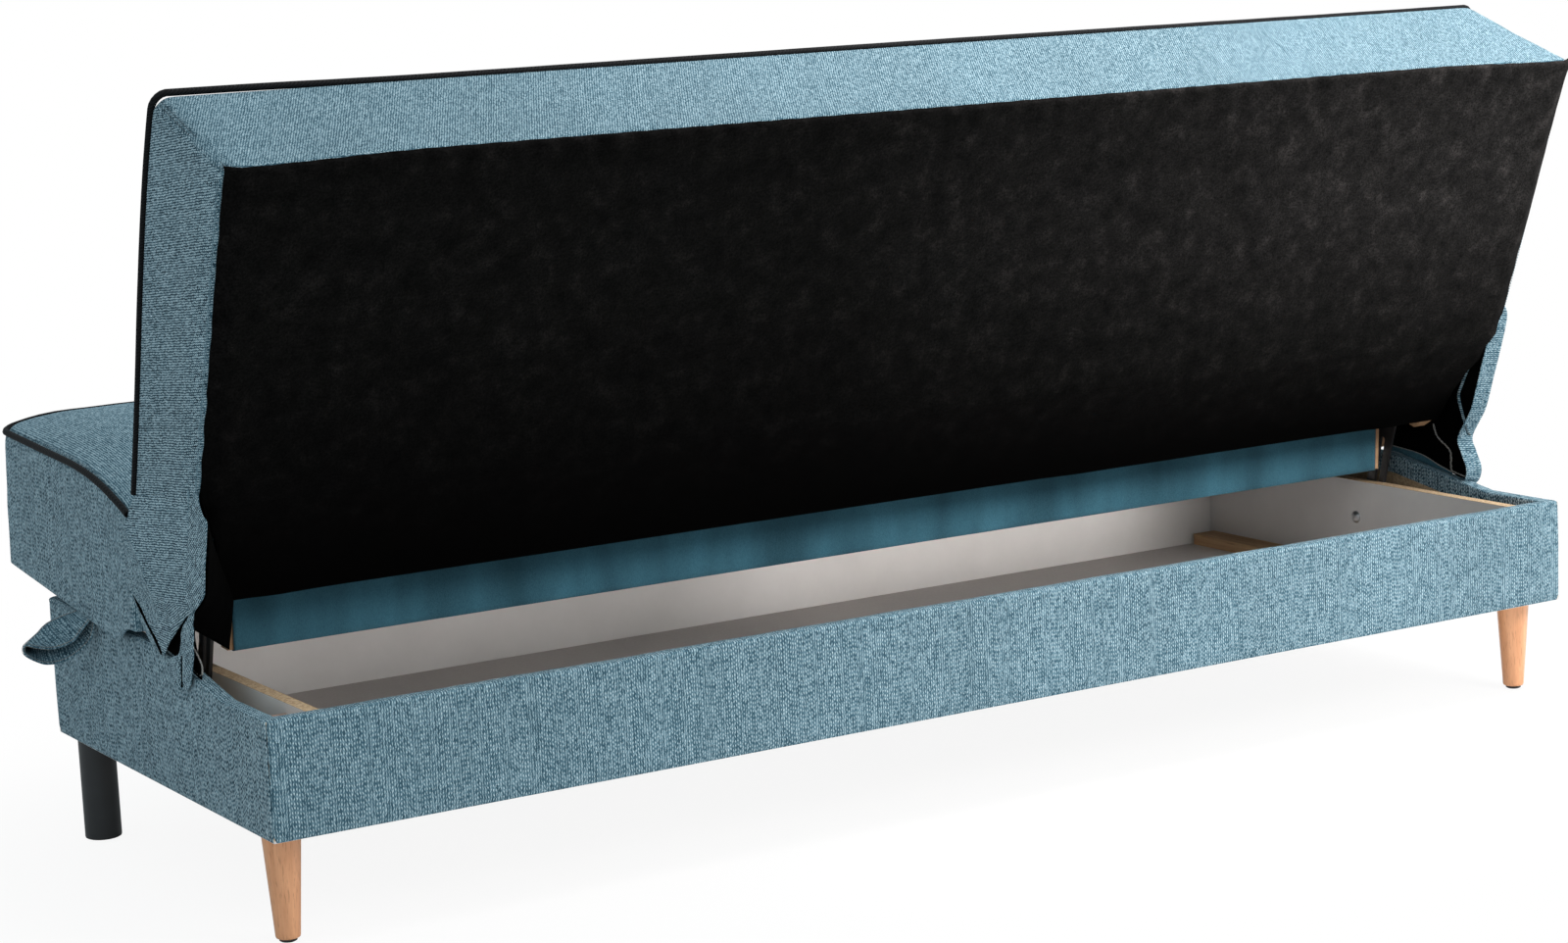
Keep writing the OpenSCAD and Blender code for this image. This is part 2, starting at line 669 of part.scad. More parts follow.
// Side profile shared by the outer rails and the inner bars
module back_profile(u0) {
    polygon(u0 < 0
        ? [[frame_n0, frame_u1], [frame_n1, frame_u1], [frame_n1, taper_u], [tail_n, 1], [46, -14], [30, -14],
            [28, 26], [frame_n0, 62]]
        : [[frame_n0, frame_u1 - rail_w - gap], [frame_n1, frame_u1 - rail_w - gap], [frame_n1, taper_u],
            [tail_n + u0 * (frame_n1 - tail_n) / taper_u, u0], [frame_n0, u0]]);
}

module back_rail_top() {
    color(wood) at_back() box_at(-rail_x0 + gap, rail_x0 - gap, frame_n0, frame_n1, frame_u1 - rail_w, frame_u1);
}

module back_rail_bottom() {
    color(wood) at_back() slab_x(-tail_x, tail_x) polygon([[28, 1], [tail_n - 1, 1],
        [tail_n + 43 * (frame_n1 - tail_n) / taper_u - 2, 44], [28, 44]]);
}

module back_rail_side(side) {
    color([0.62, 0.42, 0.26]) at_back() difference() {
        ends(side) slab_x(rail_x0, rail_x1) back_profile(-1);
        for (q = back_screw_at) {
            ends(side) translate([0, q[0], q[1]]) screw_hole();
        }
    }
}

module back_bars() {
    color(wood) at_back() for (s = [-1, 1]) {
        for (x = [tail_x - rail_w, (tail_x - rail_w) / 3]) {
            ends(s) slab_x(x, x + rail_w) back_profile(44 + gap);
        }
    }
}

module back_deck() {
    color([0.55, 0.42, 0.30]) at_back() translate([0, deck_n0 + deck_t, 0]) rotate([90, 0, 0])
        linear_extrude(deck_t) polygon([[-tail_x, 48], [tail_x, 48], [tail_x, 78], [rail_x1, 78],
            [rail_x1, frame_u1], [-rail_x1, frame_u1], [-rail_x1, 78], [-tail_x, 78]]);
}

// Front face of the back's padding, bowed forward at half height
function back_face(u) = let (t = clamp((u - pad_u0) / (back_top - pad_u0)))
    pad_n0 - back_swell * t * t * (3 - 2 * t) - back_bow * 6.75 * t * t * (1 - t);
pad_depth = frame_n1 - pad_n0;
// Slant under the back's front edge, which leaves room for the seat to lift
foot_cut = 22;
// One cross-section of the back, from its foot up the face, over the top and down behind
function back_section(x) = let (
        co = corner_in(x), ec = end_in(x), skirt = abs(x) > skirt_x0,
        ub = abs(x) > tail_x + 1 ? pad_end_u0 : pad_u0,
        foot = abs(x) > tail_x + 1 ? 8 : foot_cut,
        ut = back_top - co, tops = [for (k = [0:13]) ub + foot + (ut - chamfer - ub - foot) * k / 13])
    concat([[pad_n1 - 1, ub], [pad_n0 * 0.4, ub], [back_face(ub) + foot - 1 + ec, ub]],
        [for (u = tops) [back_face(u) + ec - back_crown * crown_x(x) * hump(u, pad_u0, back_top), u]],
        [for (q = [[1 - chamfer / pad_depth, 0], [0.75, 1.5], [0.45, 2.5], [0.10, 0]])
            [frame_n1 + (back_face(ut) - frame_n1) * q[0] + (q[0] > 0.9 ? ec : 0), ut - q[1]]],
        [[frame_n1, ut - 2]],
        skirt ? [[frame_n1, taper_u], [frame_n0 + 2, pad_end_u0 + 2], [pad_n1, pad_end_u0 + 1]]
            : [[frame_n1, frame_u1 + 1], [pad_n1, frame_u1 + 1], [pad_n1, ub + 1]]);

module back_cushion() {
    xs = stations([tail_x + 1, skirt_x0]);
    rings = [for (x = xs) [for (q = back_section(x)) [x, q[0], q[1]]]];
    m = [0, pad_n1 - pad_depth * 0.30, (pad_end_u0 + back_top) / 2];
    dent = [for (f = [0.84, 0.6]) [for (q = rings[len(xs) - 1])
        [half - (f > 0.7 ? 1.6 : 2.8), m[1] + (q[1] - m[1]) * f, m[2] + (q[2] - m[2]) * f]]];
    flip = [for (i = [1, 0]) [for (q = dent[i]) [-q[0], q[1], q[2]]]];
    color(fabric) at_back() loft(concat(flip, rings, dent), [-half + 3.2, m[1], m[2]], [half - 3.2, m[1], m[2]]);
}

// Piping up one end, along the top and down the other end
function back_pipe_path() = let (i = 1.2, x = half - i, u = back_top - i, r = corner_r,
        steps = [for (k = [0:11]) pad_end_u0 + 9 + (u - r - pad_end_u0 - 9) * k / 12])
    concat([for (q = steps) [x, q]],
        [for (k = [0:4]) [x - r, u - r] + r * [cos(90 * k / 4), sin(90 * k / 4)]],
        [for (k = [1:9]) [(x - r) * (1 - k / 5), u]],
        [for (k = [0:4]) [-x + r, u - r] + r * [cos(90 + 90 * k / 4), sin(90 + 90 * k / 4)]],
        [for (k = [11:-1:0]) [-x, steps[k]]]);
module back_piping() {
    color(black) at_back() cord([for (q = back_pipe_path()) [q[0], back_face(q[1]) + 1.2, q[1]]], piping_r, 8);
}

// Black lining: a flat sheet over the frame, then a panel that narrows down to the foot
cover_x = half - 5;
module back_dust_cover() {
    slope = atan2(frame_n1 - tail_n, taper_u);
    run = norm([frame_n1 - tail_n, taper_u - 1]);
    color(black) at_back() union() {
        box_at(-cover_x, cover_x, back_drop - dust_t, back_drop, taper_u, back_top - 5);
        difference() {
            translate([0, back_drop - dust_t, taper_u]) rotate([-slope, 0, 0]) translate([0, dust_t, 0]) rotate([90, 0, 0])
                linear_extrude(dust_t) polygon([[-cover_x, 1], [cover_x, 1], [tail_x + 3, -run], [-tail_x - 3, -run]]);
            box_at(-half, half, back_drop, back_drop + 30, -20, back_top);
        }
        box_at(-tail_x, tail_x, 28, tail_n + gap + 1.2, 1 - gap - dust_t, 1 - gap);
    }
}

// Loose fabric that closes the gap between the back's end and the box. It hangs on from the border of
// the back, passes outside the seat's rear corner and ends in a tip outside the box
function gusset_line() = let (z = rim_z) [back_pt([pad_n0 + 6, 66]), [6, z + 187], [-7.5, z + 155], [-4, z + 115],
    [1, z + 91], [34, z + 59], [54, z + 26], [82, z - 2], [125, z + 2], [134, z + 18], [188, z + 86], [223, z + 125],
    [245, z + 204], [227, z + 216], back_pt([frame_n1 - 7, 160]), back_pt([frame_n0 - 6, 68])];
module gusset(side) {
    th = 1.6;
    x0 = board_x + cover_t + 0.3;
    x1 = half + 0.4;
    color(fabric) placed() ends(side) intersection() {
        slab_x(x0 - 5, x1 + 5) polygon(gusset_line());
        translate([0, 400, 0]) rotate([90, 0, 0]) linear_extrude(800) polygon([[x1, rim_z + 300], [x1 + th, rim_z + 300],
            [x1 + th, rim_z + 70], [x0 + th, rim_z + 30], [x0 + th, rim_z - 20], [x0, rim_z - 20], [x0, rim_z + 30.6],
            [x1, rim_z + 70.6]]);
    }
}

module end_board_left() end_board(1);
module end_board_right() end_board(-1);
module partition_left() partition(1);
module partition_right() partition(-1);
module corner_blocks_rear() corner_blocks(1);
module corner_blocks_front() corner_blocks(-1);
module leg_rear_left() leg_rear(1);
module leg_rear_right() leg_rear(-1);
module foot_front_left() foot_front(1);
module foot_front_right() foot_front(-1);
module bracket_left() bracket(1);
module bracket_right() bracket(-1);
module seat_rail_left() seat_rail_side(1);
module seat_rail_right() seat_rail_side(-1);
module seat_arm_left() seat_arm(1);
module seat_arm_right() seat_arm(-1);
module pull_strap_left() pull_strap(1);
module pull_strap_right() pull_strap(-1);
module back_rail_left() back_rail_side(1);
module back_rail_right() back_rail_side(-1);
module back_arm_left() back_arm(1);
module back_arm_right() back_arm(-1);
module gusset_left() gusset(1);
module gusset_right() gusset(-1);

end_board_left();
end_board_right();
rear_board();
front_board();
partition_left();
partition_right();
chest_floor();
floor_battens();
corner_blocks_rear();
corner_blocks_front();
base_cover();
leg_rear_left();
leg_rear_right();
leg_glides();
foot_front_left();
foot_front_right();
leg_studs();
bracket_left();
bracket_right();
bracket_bolts();
bracket_screws();
back_pivot_pins();
seat_pivot_pins();
seat_rail_front();
seat_rail_rear();
seat_rail_left();
seat_rail_right();
seat_bars();
seat_deck();
seat_cushion();
seat_piping();
seat_rear_wrap();
seat_dust_cover();
seat_arm_left();
seat_arm_right();
seat_arm_screws();
pull_strap_left();
pull_strap_right();
back_rail_top();
back_rail_bottom();
back_rail_left();
back_rail_right();
back_bars();
back_deck();
back_cushion();
back_piping();
back_dust_cover();
back_arm_left();
back_arm_right();
back_arm_screws();
gusset_left();
gusset_right();
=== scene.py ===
# %% [markdown]
# # Dressing a sofa bed that is seen from behind
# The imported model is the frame: it gives every node of the sofa bed at its real size and in its real
# place. In this lesson the soft parts get their cloth, seams and folds, and the boards, legs and hinges
# get their materials. Nothing of the frame is moved.

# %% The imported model
import json
from math import atan2, copysign, cos, degrees, exp, hypot, pi, radians, sin
import bmesh
import bpy
from mathutils import Matrix, Vector, noise


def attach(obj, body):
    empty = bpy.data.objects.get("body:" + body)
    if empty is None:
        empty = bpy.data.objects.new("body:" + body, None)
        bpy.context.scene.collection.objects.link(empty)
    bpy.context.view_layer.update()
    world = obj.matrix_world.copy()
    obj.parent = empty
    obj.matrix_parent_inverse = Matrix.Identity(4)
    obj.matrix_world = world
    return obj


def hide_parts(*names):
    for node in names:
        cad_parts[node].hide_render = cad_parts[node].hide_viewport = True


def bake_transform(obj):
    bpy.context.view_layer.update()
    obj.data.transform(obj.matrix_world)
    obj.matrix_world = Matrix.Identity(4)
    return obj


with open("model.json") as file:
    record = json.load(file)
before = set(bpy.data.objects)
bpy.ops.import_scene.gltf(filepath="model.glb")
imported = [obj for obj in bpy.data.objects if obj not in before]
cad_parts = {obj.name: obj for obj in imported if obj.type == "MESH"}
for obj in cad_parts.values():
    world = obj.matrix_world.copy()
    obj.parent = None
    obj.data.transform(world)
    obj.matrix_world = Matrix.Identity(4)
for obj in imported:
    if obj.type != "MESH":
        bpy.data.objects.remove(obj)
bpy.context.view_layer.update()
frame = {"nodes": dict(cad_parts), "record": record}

nodes = frame["nodes"]

# %% [markdown]
# ## Three drawing boards
# The box stands level, the seat is tipped nose-up by about three degrees, and the back leans by about
# twenty. Each soft piece is easiest to describe on its own drawing board, so three small functions turn
# a place on the box, on the seat or on the back into a place in the room.

# %% Places on the box, the seat and the back
hinge = {j["name"]: Vector(j["pos_m"]) for j in frame["record"]["behaviour"]["joints"]}
PIN_Y, PIN_Z = 0.068, 0.374     # the back's pins, from the middle of the box and from the floor
SEAT_Z = 0.306    # underside of the seat above the middle of the box
box_y = hinge["back_recline"].y - PIN_Y
lean, tilt = radians(20.5), radians(3.1)
HALF = 0.950      # half the length of the cushions
BOARD = 0.937     # outside of an end board
INNER = 0.921     # inside of an end board
RIM = 0.261       # top of the rear board
SIDES = ((1, "left"), (-1, "right"))


def on_box(x, y, z):
    return Vector((x, y + box_y, z))


def on_seat(x, y, z):
    return Vector((x, box_y + y * cos(tilt) + z * sin(tilt),
                   SEAT_Z - y * sin(tilt) + z * cos(tilt)))


def on_back(x, n, u):
    return Vector((x, box_y + PIN_Y + n * cos(lean) + u * sin(lean),
                   PIN_Z - n * sin(lean) + u * cos(lean)))


def clamp(v, low=0.0, high=1.0):
    return max(low, min(high, v))


def ease(v):
    v = clamp(v)
    return v * v * (3 - 2 * v)


def ripple(a, b, c=0.0, octaves=2):
    """Smooth noise from about -1 to 1, the same on every run."""
    return noise.fractal(Vector((a, b, c)), 1.0, 2.0, octaves)


def in_scene(name, data):
    thing = bpy.data.objects.new(name, data)
    bpy.context.scene.collection.objects.link(thing)
    return thing


print("back's hinge", [round(v, 4) for v in hinge["back_recline"]], "box centre y", round(box_y, 4))

# %% [markdown]
# ## The camera
# The view was fitted to the photograph: the long rim lines, the legs and the top edge fix its place, its
# turn and a small roll. The camera comes first, so that every later step can be judged through it.

# %% The fitted camera
camera = in_scene("camera", bpy.data.cameras.new("camera"))
camera.data.sensor_fit = "HORIZONTAL"
camera.data.sensor_width = 36.0
camera.data.lens = 77.617
right = Vector((-0.852975, 0.520007, -0.045016))
up = Vector((-0.121265, -0.113549, 0.986104))
ahead = Vector((-0.507670, -0.846581, -0.159913))
camera.rotation_mode = "QUATERNION"
camera.rotation_quaternion = Matrix((right, up, -ahead)).transposed().to_quaternion()
camera.location = (2.266386, 3.656237 + box_y, 1.078717)
camera.data.clip_start = 0.05
camera.data.clip_end = 60.0
bpy.context.scene.camera = camera
print("camera is", round((camera.location - Vector((0, 0, 0.4))).length, 2), "m away")

# %% [markdown]
# ## Cloth as a laid grid
# Upholstery cloth is cut flat and laid over a form. The helper does the same: it takes a bmesh grid and
# lays each of its points on the form. Its second layer, called weave, keeps the cloth's own flat
# measure, so that the ribs of the weave follow the cloth round every fold.

# %% Helpers for cloth and padded forms


def dressed_piece(name, mesh, finish, body=None, smooth=True):
    """A mesh as a piece of its own. A finish is a material."""
    if smooth:
        mesh.polygons.foreach_set("use_smooth", [True] * len(mesh.polygons))
    mesh.materials.append(finish[0])
    piece = in_scene(name, mesh)
    if body:
        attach(piece, body)
    return piece


def as_piece(name, bm, finish, body=None, smooth=True):
    """The finished bmesh as an object at the origin."""
    mesh = bpy.data.meshes.new(name)
    bm.to_mesh(mesh)
    bm.free()
    return dressed_piece(name, mesh, finish, body, smooth)


def laid_grid(across, down, place, measure=None):
    """A bmesh grid whose points go to place(a, b), with a and b from 0 to 1.
    measure gives the cloth's flat size."""
    bm = bmesh.new()
    bmesh.ops.create_grid(bm, x_segments=across, y_segments=down, size=1)
    weave = bm.loops.layers.uv.new("weave")
    if measure:
        for face in bm.faces:
            for loop in face.loops:
                c = loop.vert.co
                loop[weave].uv = ((c.x + 1) / 2 * measure[0], (c.y + 1) / 2 * measure[1])
    for v in bm.verts:
        v.co = place((v.co.x + 1) / 2, (v.co.y + 1) / 2)
    return bm


SHEET = 0.0009    # thickness of lining and of the flaps' cloth


def thicken(piece, thickness, offset=-1.0):
    """Gives a sheet of cloth its thickness."""
    solid = piece.modifiers.new("thickness", "SOLIDIFY")
    solid.thickness = thickness
    solid.offset = offset
    solid.use_even_offset = False


def soften(piece):
    sub = piece.modifiers.new("soften", "SUBSURF")
    sub.levels = sub.render_levels = 1


def weave_by_facing(piece, turn=0.0, ribs_up=False, slant=0.0, stretch=1.0):
    """Lays the weave flat on each face. The ribs run along u and are counted along v."""
    mesh = piece.data
    layer = mesh.uv_layers.get("weave") or mesh.uv_layers.new(name="weave")
    square = Matrix.Rotation(turn, 3, "X")
    spots = [square @ v.co * stretch for v in mesh.vertices]
    c, s = cos(slant), sin(slant)
    for face in mesh.polygons:
        facing = square @ face.normal
        flat = max(range(3), key=lambda k: abs(facing[k]))
        for k in face.loop_indices:
            p = spots[mesh.loops[k].vertex_index]
            a, b = ((p.y, p.z), (p.x, p.z), (p.y, p.x))[flat]
            if ribs_up and flat < 2:
                a, b = b, a
            if flat != 1:
                a, b = a * c + b * s, b * c - a * s
            layer.data[k].uv = (a, b)


def smooth_path(points, steps):
    """A smooth curve through points."""
    path = []
    for i in range(len(points) - 1):
        p0, p1, p2, p3 = (Vector(points[k]) for k in (max(i - 1, 0), i, i + 1, min(i + 2, len(points) - 1)))
        for j in range(steps):
            t = j / steps
            path.append(0.5 * (2 * p1 + (p2 - p0) * t + (2 * p0 - 5 * p1 + 4 * p2 - p3) * t * t
                               + (3 * p1 - p0 - 3 * p2 + p3) * t ** 3))
    return path + [Vector(points[-1])]


def run_along(path):
    """Distance of every point from the start of a path."""
    runs = [0.0]
    for one, two in zip(path, path[1:]):
        runs.append(runs[-1] + (two - one).length)
    return runs


def even_steps(points, count):
    """Places at even distances along a smooth curve through points."""
    path = smooth_path(points, 8)
    runs = run_along(path)
    places, i = [], 0
    for k in range(count + 1):
        want = runs[-1] * k / count
        while i < len(path) - 2 and runs[i + 1] < want:
            i += 1
        t = (want - runs[i]) / max(1e-9, runs[i + 1] - runs[i])
        places.append(path[i].lerp(path[i + 1], clamp(t)))
    return places


def gap_to(line, p):
    """Distance from a place to a line of points."""
    best = 1.0
    for one, two in zip(line, line[1:]):
        one, two = Vector(one), Vector(two)
        run = two - one
        t = clamp((p - one).dot(run) / run.length_squared)
        best = min(best, (p - one - run * t).length)
    return best


def ring_block(outline, pocket, lip, border, face):
    """A closed padded form over a closed outline. Its rows go from the pocket round to the middle of the
    face. Each of the four functions turns an outline point and a row's share into a place."""
    rows = [(pocket, share) for share in POCKET_ROWS] + [(lip, *shares) for shares in LIP_ROWS]
    rows += [(border, share) for share in BORDER_ROWS] + [(face, share) for share in FACE_ROWS]
    count = len(outline)
    bm = bmesh.new()
    bmesh.ops.create_grid(bm, x_segments=count, y_segments=len(rows) - 1, size=1)
    for v in bm.verts:
        i = round((v.co.x + 1) / 2 * count) % count
        place, *shares = rows[round((v.co.y + 1) / 2 * (len(rows) - 1))]
        v.co = place(*outline[i], *shares)
    bmesh.ops.remove_doubles(bm, verts=bm.verts, dist=2e-5)
    bmesh.ops.dissolve_degenerate(bm, edges=bm.edges, dist=1e-6)
    bmesh.ops.recalc_face_normals(bm, faces=bm.faces)
    return bm


POCKET_ROWS = (1.0, 0.6, 0.2, 0.0)
LIP_ROWS = ((0.0, 0.5), (0.0, 0.0), (0.4, 0.0), (0.85, 0.0), (1.0, 0.0))     # share and depth
BORDER_ROWS = (0.0, 0.012, 0.04, 0.1, 0.18, 0.26, 0.34, 0.42, 0.5, 0.58, 0.66, 0.74, 0.82, 0.9, 0.955, 0.985, 1.0)
FACE_ROWS = (0.0055, 0.014, 0.024, 0.036, 0.05, 0.07, 0.095, 0.125, 0.16, 0.20, 0.25, 0.30, 0.36, 0.42, 0.48, 0.55,
             0.62, 0.70, 0.78, 0.86, 0.93, 1.0)
print("helpers ready")

# %% [markdown]
# ## The woven cloth
# The cover is a heathered weave of blue-grey and paler threads. Its ribs are almost three millimetres
# apart and its stitches sit out of step on both sides of each rib, so the dark gaps between them read as
# fine lines from near by and as a speckle from afar. Two cosines make ribs and stitches, and a random
# tone for each stitch makes the heather. The pattern reads the weave layer, which is in metres.

# %% A small helper for node materials


class Nodes:
    """Adds nodes to a tree. Every input is given as a value or as another node's socket."""

    def __init__(self, tree):
        self.tree, self.shader = tree, tree.nodes.get("Principled BSDF")

    def feed(self, socket, value):
        if isinstance(value, bpy.types.NodeSocket):
            self.tree.links.new(value, socket)
        else:
            socket.default_value = value

    def add(self, kind, inputs=(), **settings):
        node = self.tree.nodes.new("ShaderNode" + kind)
        for key, value in settings.items():
            setattr(node, key, value)
        for key, value in dict(inputs).items():
            self.feed(node.inputs[key], value)
        return node

    def number(self, operation, *values):
        return self.add("Math", enumerate(values), operation=operation).outputs[0]

    def times(self, one, two):
        return self.number("MULTIPLY", one, two)

    def plus(self, one, two):
        return self.number("ADD", one, two)

    def stretched(self, spot, scale):
        return self.add("VectorMath", {0: spot, 1: scale}, operation="MULTIPLY").outputs[0]

    def map_range(self, value, low, high, to_low, to_high, **settings):
        """Carries the range from low to high over to the range from to_low to to_high."""
        inputs = {"Value": value, "From Min": low, "From Max": high, "To Min": to_low, "To Max": to_high}
        return self.add("MapRange", inputs, **settings).outputs[0]

    def place(self, kind="Object"):
        return self.add("TexCoord").outputs[kind]

    def part(self, vector, axis):
        return self.add("SeparateXYZ", {"Vector": vector}).outputs[axis]

    def speckle(self, spot, scale, detail=2.0, roughness=0.5, distortion=0.0):
        """Noise from 0 to 1."""
        inputs = {"Vector": spot, "Scale": scale, "Detail": detail, "Roughness": roughness, "Distortion": distortion}
        return self.add("TexNoise", inputs).outputs["Fac"]

    def ramp(self, source, *stops):
        """Colour ramp with stops of (place, colour)."""
        node = self.add("ValToRGB", {0: source})
        while len(node.color_ramp.elements) < len(stops):
            node.color_ramp.elements.new(0.5)
        for element, (place, colour) in zip(node.color_ramp.elements, stops):
            element.position, element.color = place, (*colour, 1)
        return node.outputs["Color"]

    def two_tone(self, source, dark, pale, low=0.3, high=0.7):
        return self.ramp(source, (low, dark), (high, pale))

    def mix(self, factor, one, two, mode="MIX"):
        node = self.add("Mix", {0: factor}, data_type="RGBA", blend_type=mode)
        self.feed(node.inputs[6], one)
        self.feed(node.inputs[7], two)
        return node.outputs[2]

    def shade(self, one, two):
        return self.mix(1.0, one, two, "MULTIPLY")

    def paint(self, colour, socket="Base Color"):
        self.feed(self.shader.inputs[socket], colour)

    def bump(self, height, distance, strength):
        node = self.add("Bump", {"Height": height, "Distance": distance, "Strength": strength})
        self.paint(node.outputs["Normal"], "Normal")


def new_material(name, roughness, colour=(0.5, 0.5, 0.5), **settings):
    """A material with a Principled shader. Constants go straight on the shader's sockets."""
    material = bpy.data.materials.new(name)
    material.use_nodes = True
    n = Nodes(material.node_tree)
    n.paint((*colour, 1))
    n.paint(roughness, "Roughness")
    for key, value in settings.items():
        n.paint(value, key.replace("_", " "))
    return material, n


# %% The heathered weave
WEAVE_MEAN = 0.48     # the weave's middle value, which its contrast turns round


def woven_cloth(name, gap, deep, middle, pale, rib=2.8, stitch=4.5, slow=(7.0, 0.93, 1.06)):
    """rib and stitch are in millimetres. slow is the scale and the two shades of a slow change."""
    material, n = new_material(name, 0.95, Sheen_Weight=0.04, Sheen_Roughness=0.6, Specular_IOR_Level=0.06)
    flat = n.add("UVMap", uv_map="weave").outputs["UV"]
    sway = n.add("TexNoise", {"Vector": flat, "Scale": 75.0, "Detail": 1.0}).outputs["Color"]
    bent = n.add("VectorMath", {0: sway, "Scale": 0.0016}, operation="SCALE").outputs[0]
    path = n.add("VectorMath", {0: flat, 1: bent}, operation="ADD").outputs[0]
    across = n.times(n.part(path, "Y"), 1000.0 / rib)
    half_rib = n.number("FLOOR", n.times(across, 2.0))
    own = n.add("TexWhiteNoise", {"W": half_rib}, noise_dimensions="1D").outputs["Value"]
    along = n.plus(n.times(n.part(path, "X"), 1000.0 / stitch), n.times(own, 0.75))
    place = n.add("CombineXYZ", {"X": half_rib, "Y": n.number("FLOOR", along)}).outputs[0]
    tone = n.add("TexWhiteNoise", {"Vector": place}, noise_dimensions="2D").outputs["Value"]
    crest = n.number("COSINE", n.times(across, 2 * pi))
    knot = n.number("COSINE", n.times(along, 2 * pi))
    lift = n.times(n.plus(crest, 0.35), n.plus(n.times(knot, 0.6), 0.5))
    fibres = n.speckle(flat, 900.0, 3.0, 0.7)
    value = n.plus(n.plus(n.times(lift, 0.34), n.times(tone, 0.34)), n.times(fibres, 0.5))
    # Painted rib shade: the weave's contrast rises on faces that look along the length, at the ends, standing in for
    # the shade between ribs seen at a slant.
    end_on = n.number("ABSOLUTE", n.part(n.place("Normal"), "X"))
    contrast = n.map_range(end_on, 0.5, 0.95, 0.92, 1.75)     # strongest on the ends, as in the photograph
    value = n.plus(n.times(n.number("SUBTRACT", value, WEAVE_MEAN), contrast), WEAVE_MEAN)
    colour = n.ramp(value, (0.06, gap), (0.34, deep), (0.58, middle), (0.92, pale))
    scale, dark, light = slow
    cloud = n.two_tone(n.speckle(n.stretched(flat, (0.3, 1.0, 1.0)), scale), (dark,) * 3, (light,) * 3)
    n.paint(n.shade(colour, cloud))
    n.bump(value, 0.0008, 0.6)
    return material


# The first weave below is a darker copy of the cover's weave with finer ribs; its darkness is painted shade, for the
# band under the back and the tucked strip at the far flap.
shaded_weave = woven_cloth("shaded_copy_of_weave", (0.018, 0.070, 0.105), (0.038, 0.125, 0.175), (0.050, 0.150, 0.205),
                      (0.080, 0.190, 0.245), 1.2, 1.6, (13.0, 0.62, 1.3))
cloth = woven_cloth("heathered_weave", (0.004, 0.018, 0.030), (0.045, 0.108, 0.148), (0.165, 0.275, 0.333),
                    (0.52, 0.655, 0.715))
print("weave: ribs 2.8 mm apart, stitches 4.5 mm long")

# %% [markdown]
# ## Lining, piping and thread
# The lining on the rear of the back is a black non-woven felt: almost black, with a faint paler
# mottling. Painted light makes it much paler towards its far end and its top, and painted shade makes it
# almost black towards its foot and its near end. The piping is the same black, twisted cloth over a cord.
# The seams are sewn with a dark blue thread, and cut edges fray into pale threads.

# %% Black lining, piping and thread
lining, n = new_material("black_lining", 0.9, Specular_IOR_Level=0.03)
spot = n.place()
fibres = n.speckle(spot, 420.0, 4.0, 0.7)
grey = n.ramp(n.speckle(spot, 38.0, 5.0, 0.65), (0.30, (0.0020, 0.0019, 0.0019)), (0.55, (0.0045, 0.0042, 0.0041)),
              (0.80, (0.0120, 0.0108, 0.0104)))
# Painted light and shade: the colour is multiplied up towards the far end and the top, where the lamps light it, and
# down to almost black towards the foot and the near end, which lie in shade.
to_far_end = n.map_range(n.part(spot, "X"), -0.95, 0.2, 2.5, 0.6)
upward = n.map_range(n.part(spot, "Z"), 0.37, 0.68, 0.03, 1.55)
painted_light_level = n.times(to_far_end, upward)
painted_light_level = n.add("CombineColor", {"Red": painted_light_level, "Green": painted_light_level, "Blue": painted_light_level}).outputs[0]
n.paint(n.shade(n.shade(grey, painted_light_level), n.two_tone(fibres, (0.35,) * 3, (1.9,) * 3, 0.34, 0.68)))
n.bump(fibres, 0.0004, 0.5)

piping_cloth, n = new_material("black_piping", 0.7, Specular_IOR_Level=0.12)
twist = n.add("TexWave", {"Vector": n.place(), "Scale": 130.0, "Distortion": 1.5, "Detail": 2.0},
              wave_type="BANDS", bands_direction="DIAGONAL").outputs["Fac"]
n.paint(n.two_tone(twist, (0.002, 0.0022, 0.0026), (0.0085, 0.009, 0.0105), 0.0, 1.0))
n.bump(twist, 0.0005, 0.7)


def sewing_thread(name, roughness, scale, dark, pale, depth, strength):
    material, n = new_material(name, roughness)
    ply = n.speckle(n.place(), scale)
    n.paint(n.two_tone(ply, dark, pale))
    n.bump(ply, depth, strength)
    return material


thread = sewing_thread("sewing_thread", 0.6, 900.0, (0.012, 0.03, 0.045), (0.05, 0.09, 0.115), 0.0002, 0.5)
frayed = sewing_thread("frayed_thread", 0.8, 700.0, (0.10, 0.11, 0.11), (0.46, 0.43, 0.40), 0.0003, 0.6)
WOVEN, SHADED_WEAVE, LINED = (cloth, "woven_fabric"), (shaded_weave, "woven_fabric"), (lining, "black_lining")
PIPED, SEWN, FRAYED = (piping_cloth, "black_piping"), (thread, "black_piping"), (frayed, "woven_fabric")
print("lining, piping and threads ready")

# %% [markdown]
# ## Wood, board and metal
# The legs are turned beech under a warm satin lacquer, with the grain along the leg. The boards are
# chipboard with a white laminate on their faces; their sawn top edges show the chips. The floor is
# hardboard, the battens are pine. All these patterns read Object coordinates, so they stay put.

# %% Wood


def wood_grain(name, pale, dark, stretch, scale, roughness, coat=0.0):
    """stretch lays the grain along the axis where it is small."""
    material, n = new_material(name, roughness, Coat_Weight=coat, Coat_Roughness=0.25)
    along = n.add("Mapping", {"Vector": n.place(), "Scale": stretch}).outputs[0]
    grain = n.speckle(along, scale, 6.0, 0.6, 0.6)
    between = tuple((a + b) / 2 for a, b in zip(pale, dark))
    pits = n.two_tone(n.speckle(along, scale * 7), (0.72, 0.68, 0.64), (1.0, 1.0, 1.0), 0.30, 0.42)
    n.paint(n.shade(n.ramp(grain, (0.32, dark), (0.52, between), (0.68, pale)), pits))
    n.bump(grain, 0.0004, 0.4)
    return material


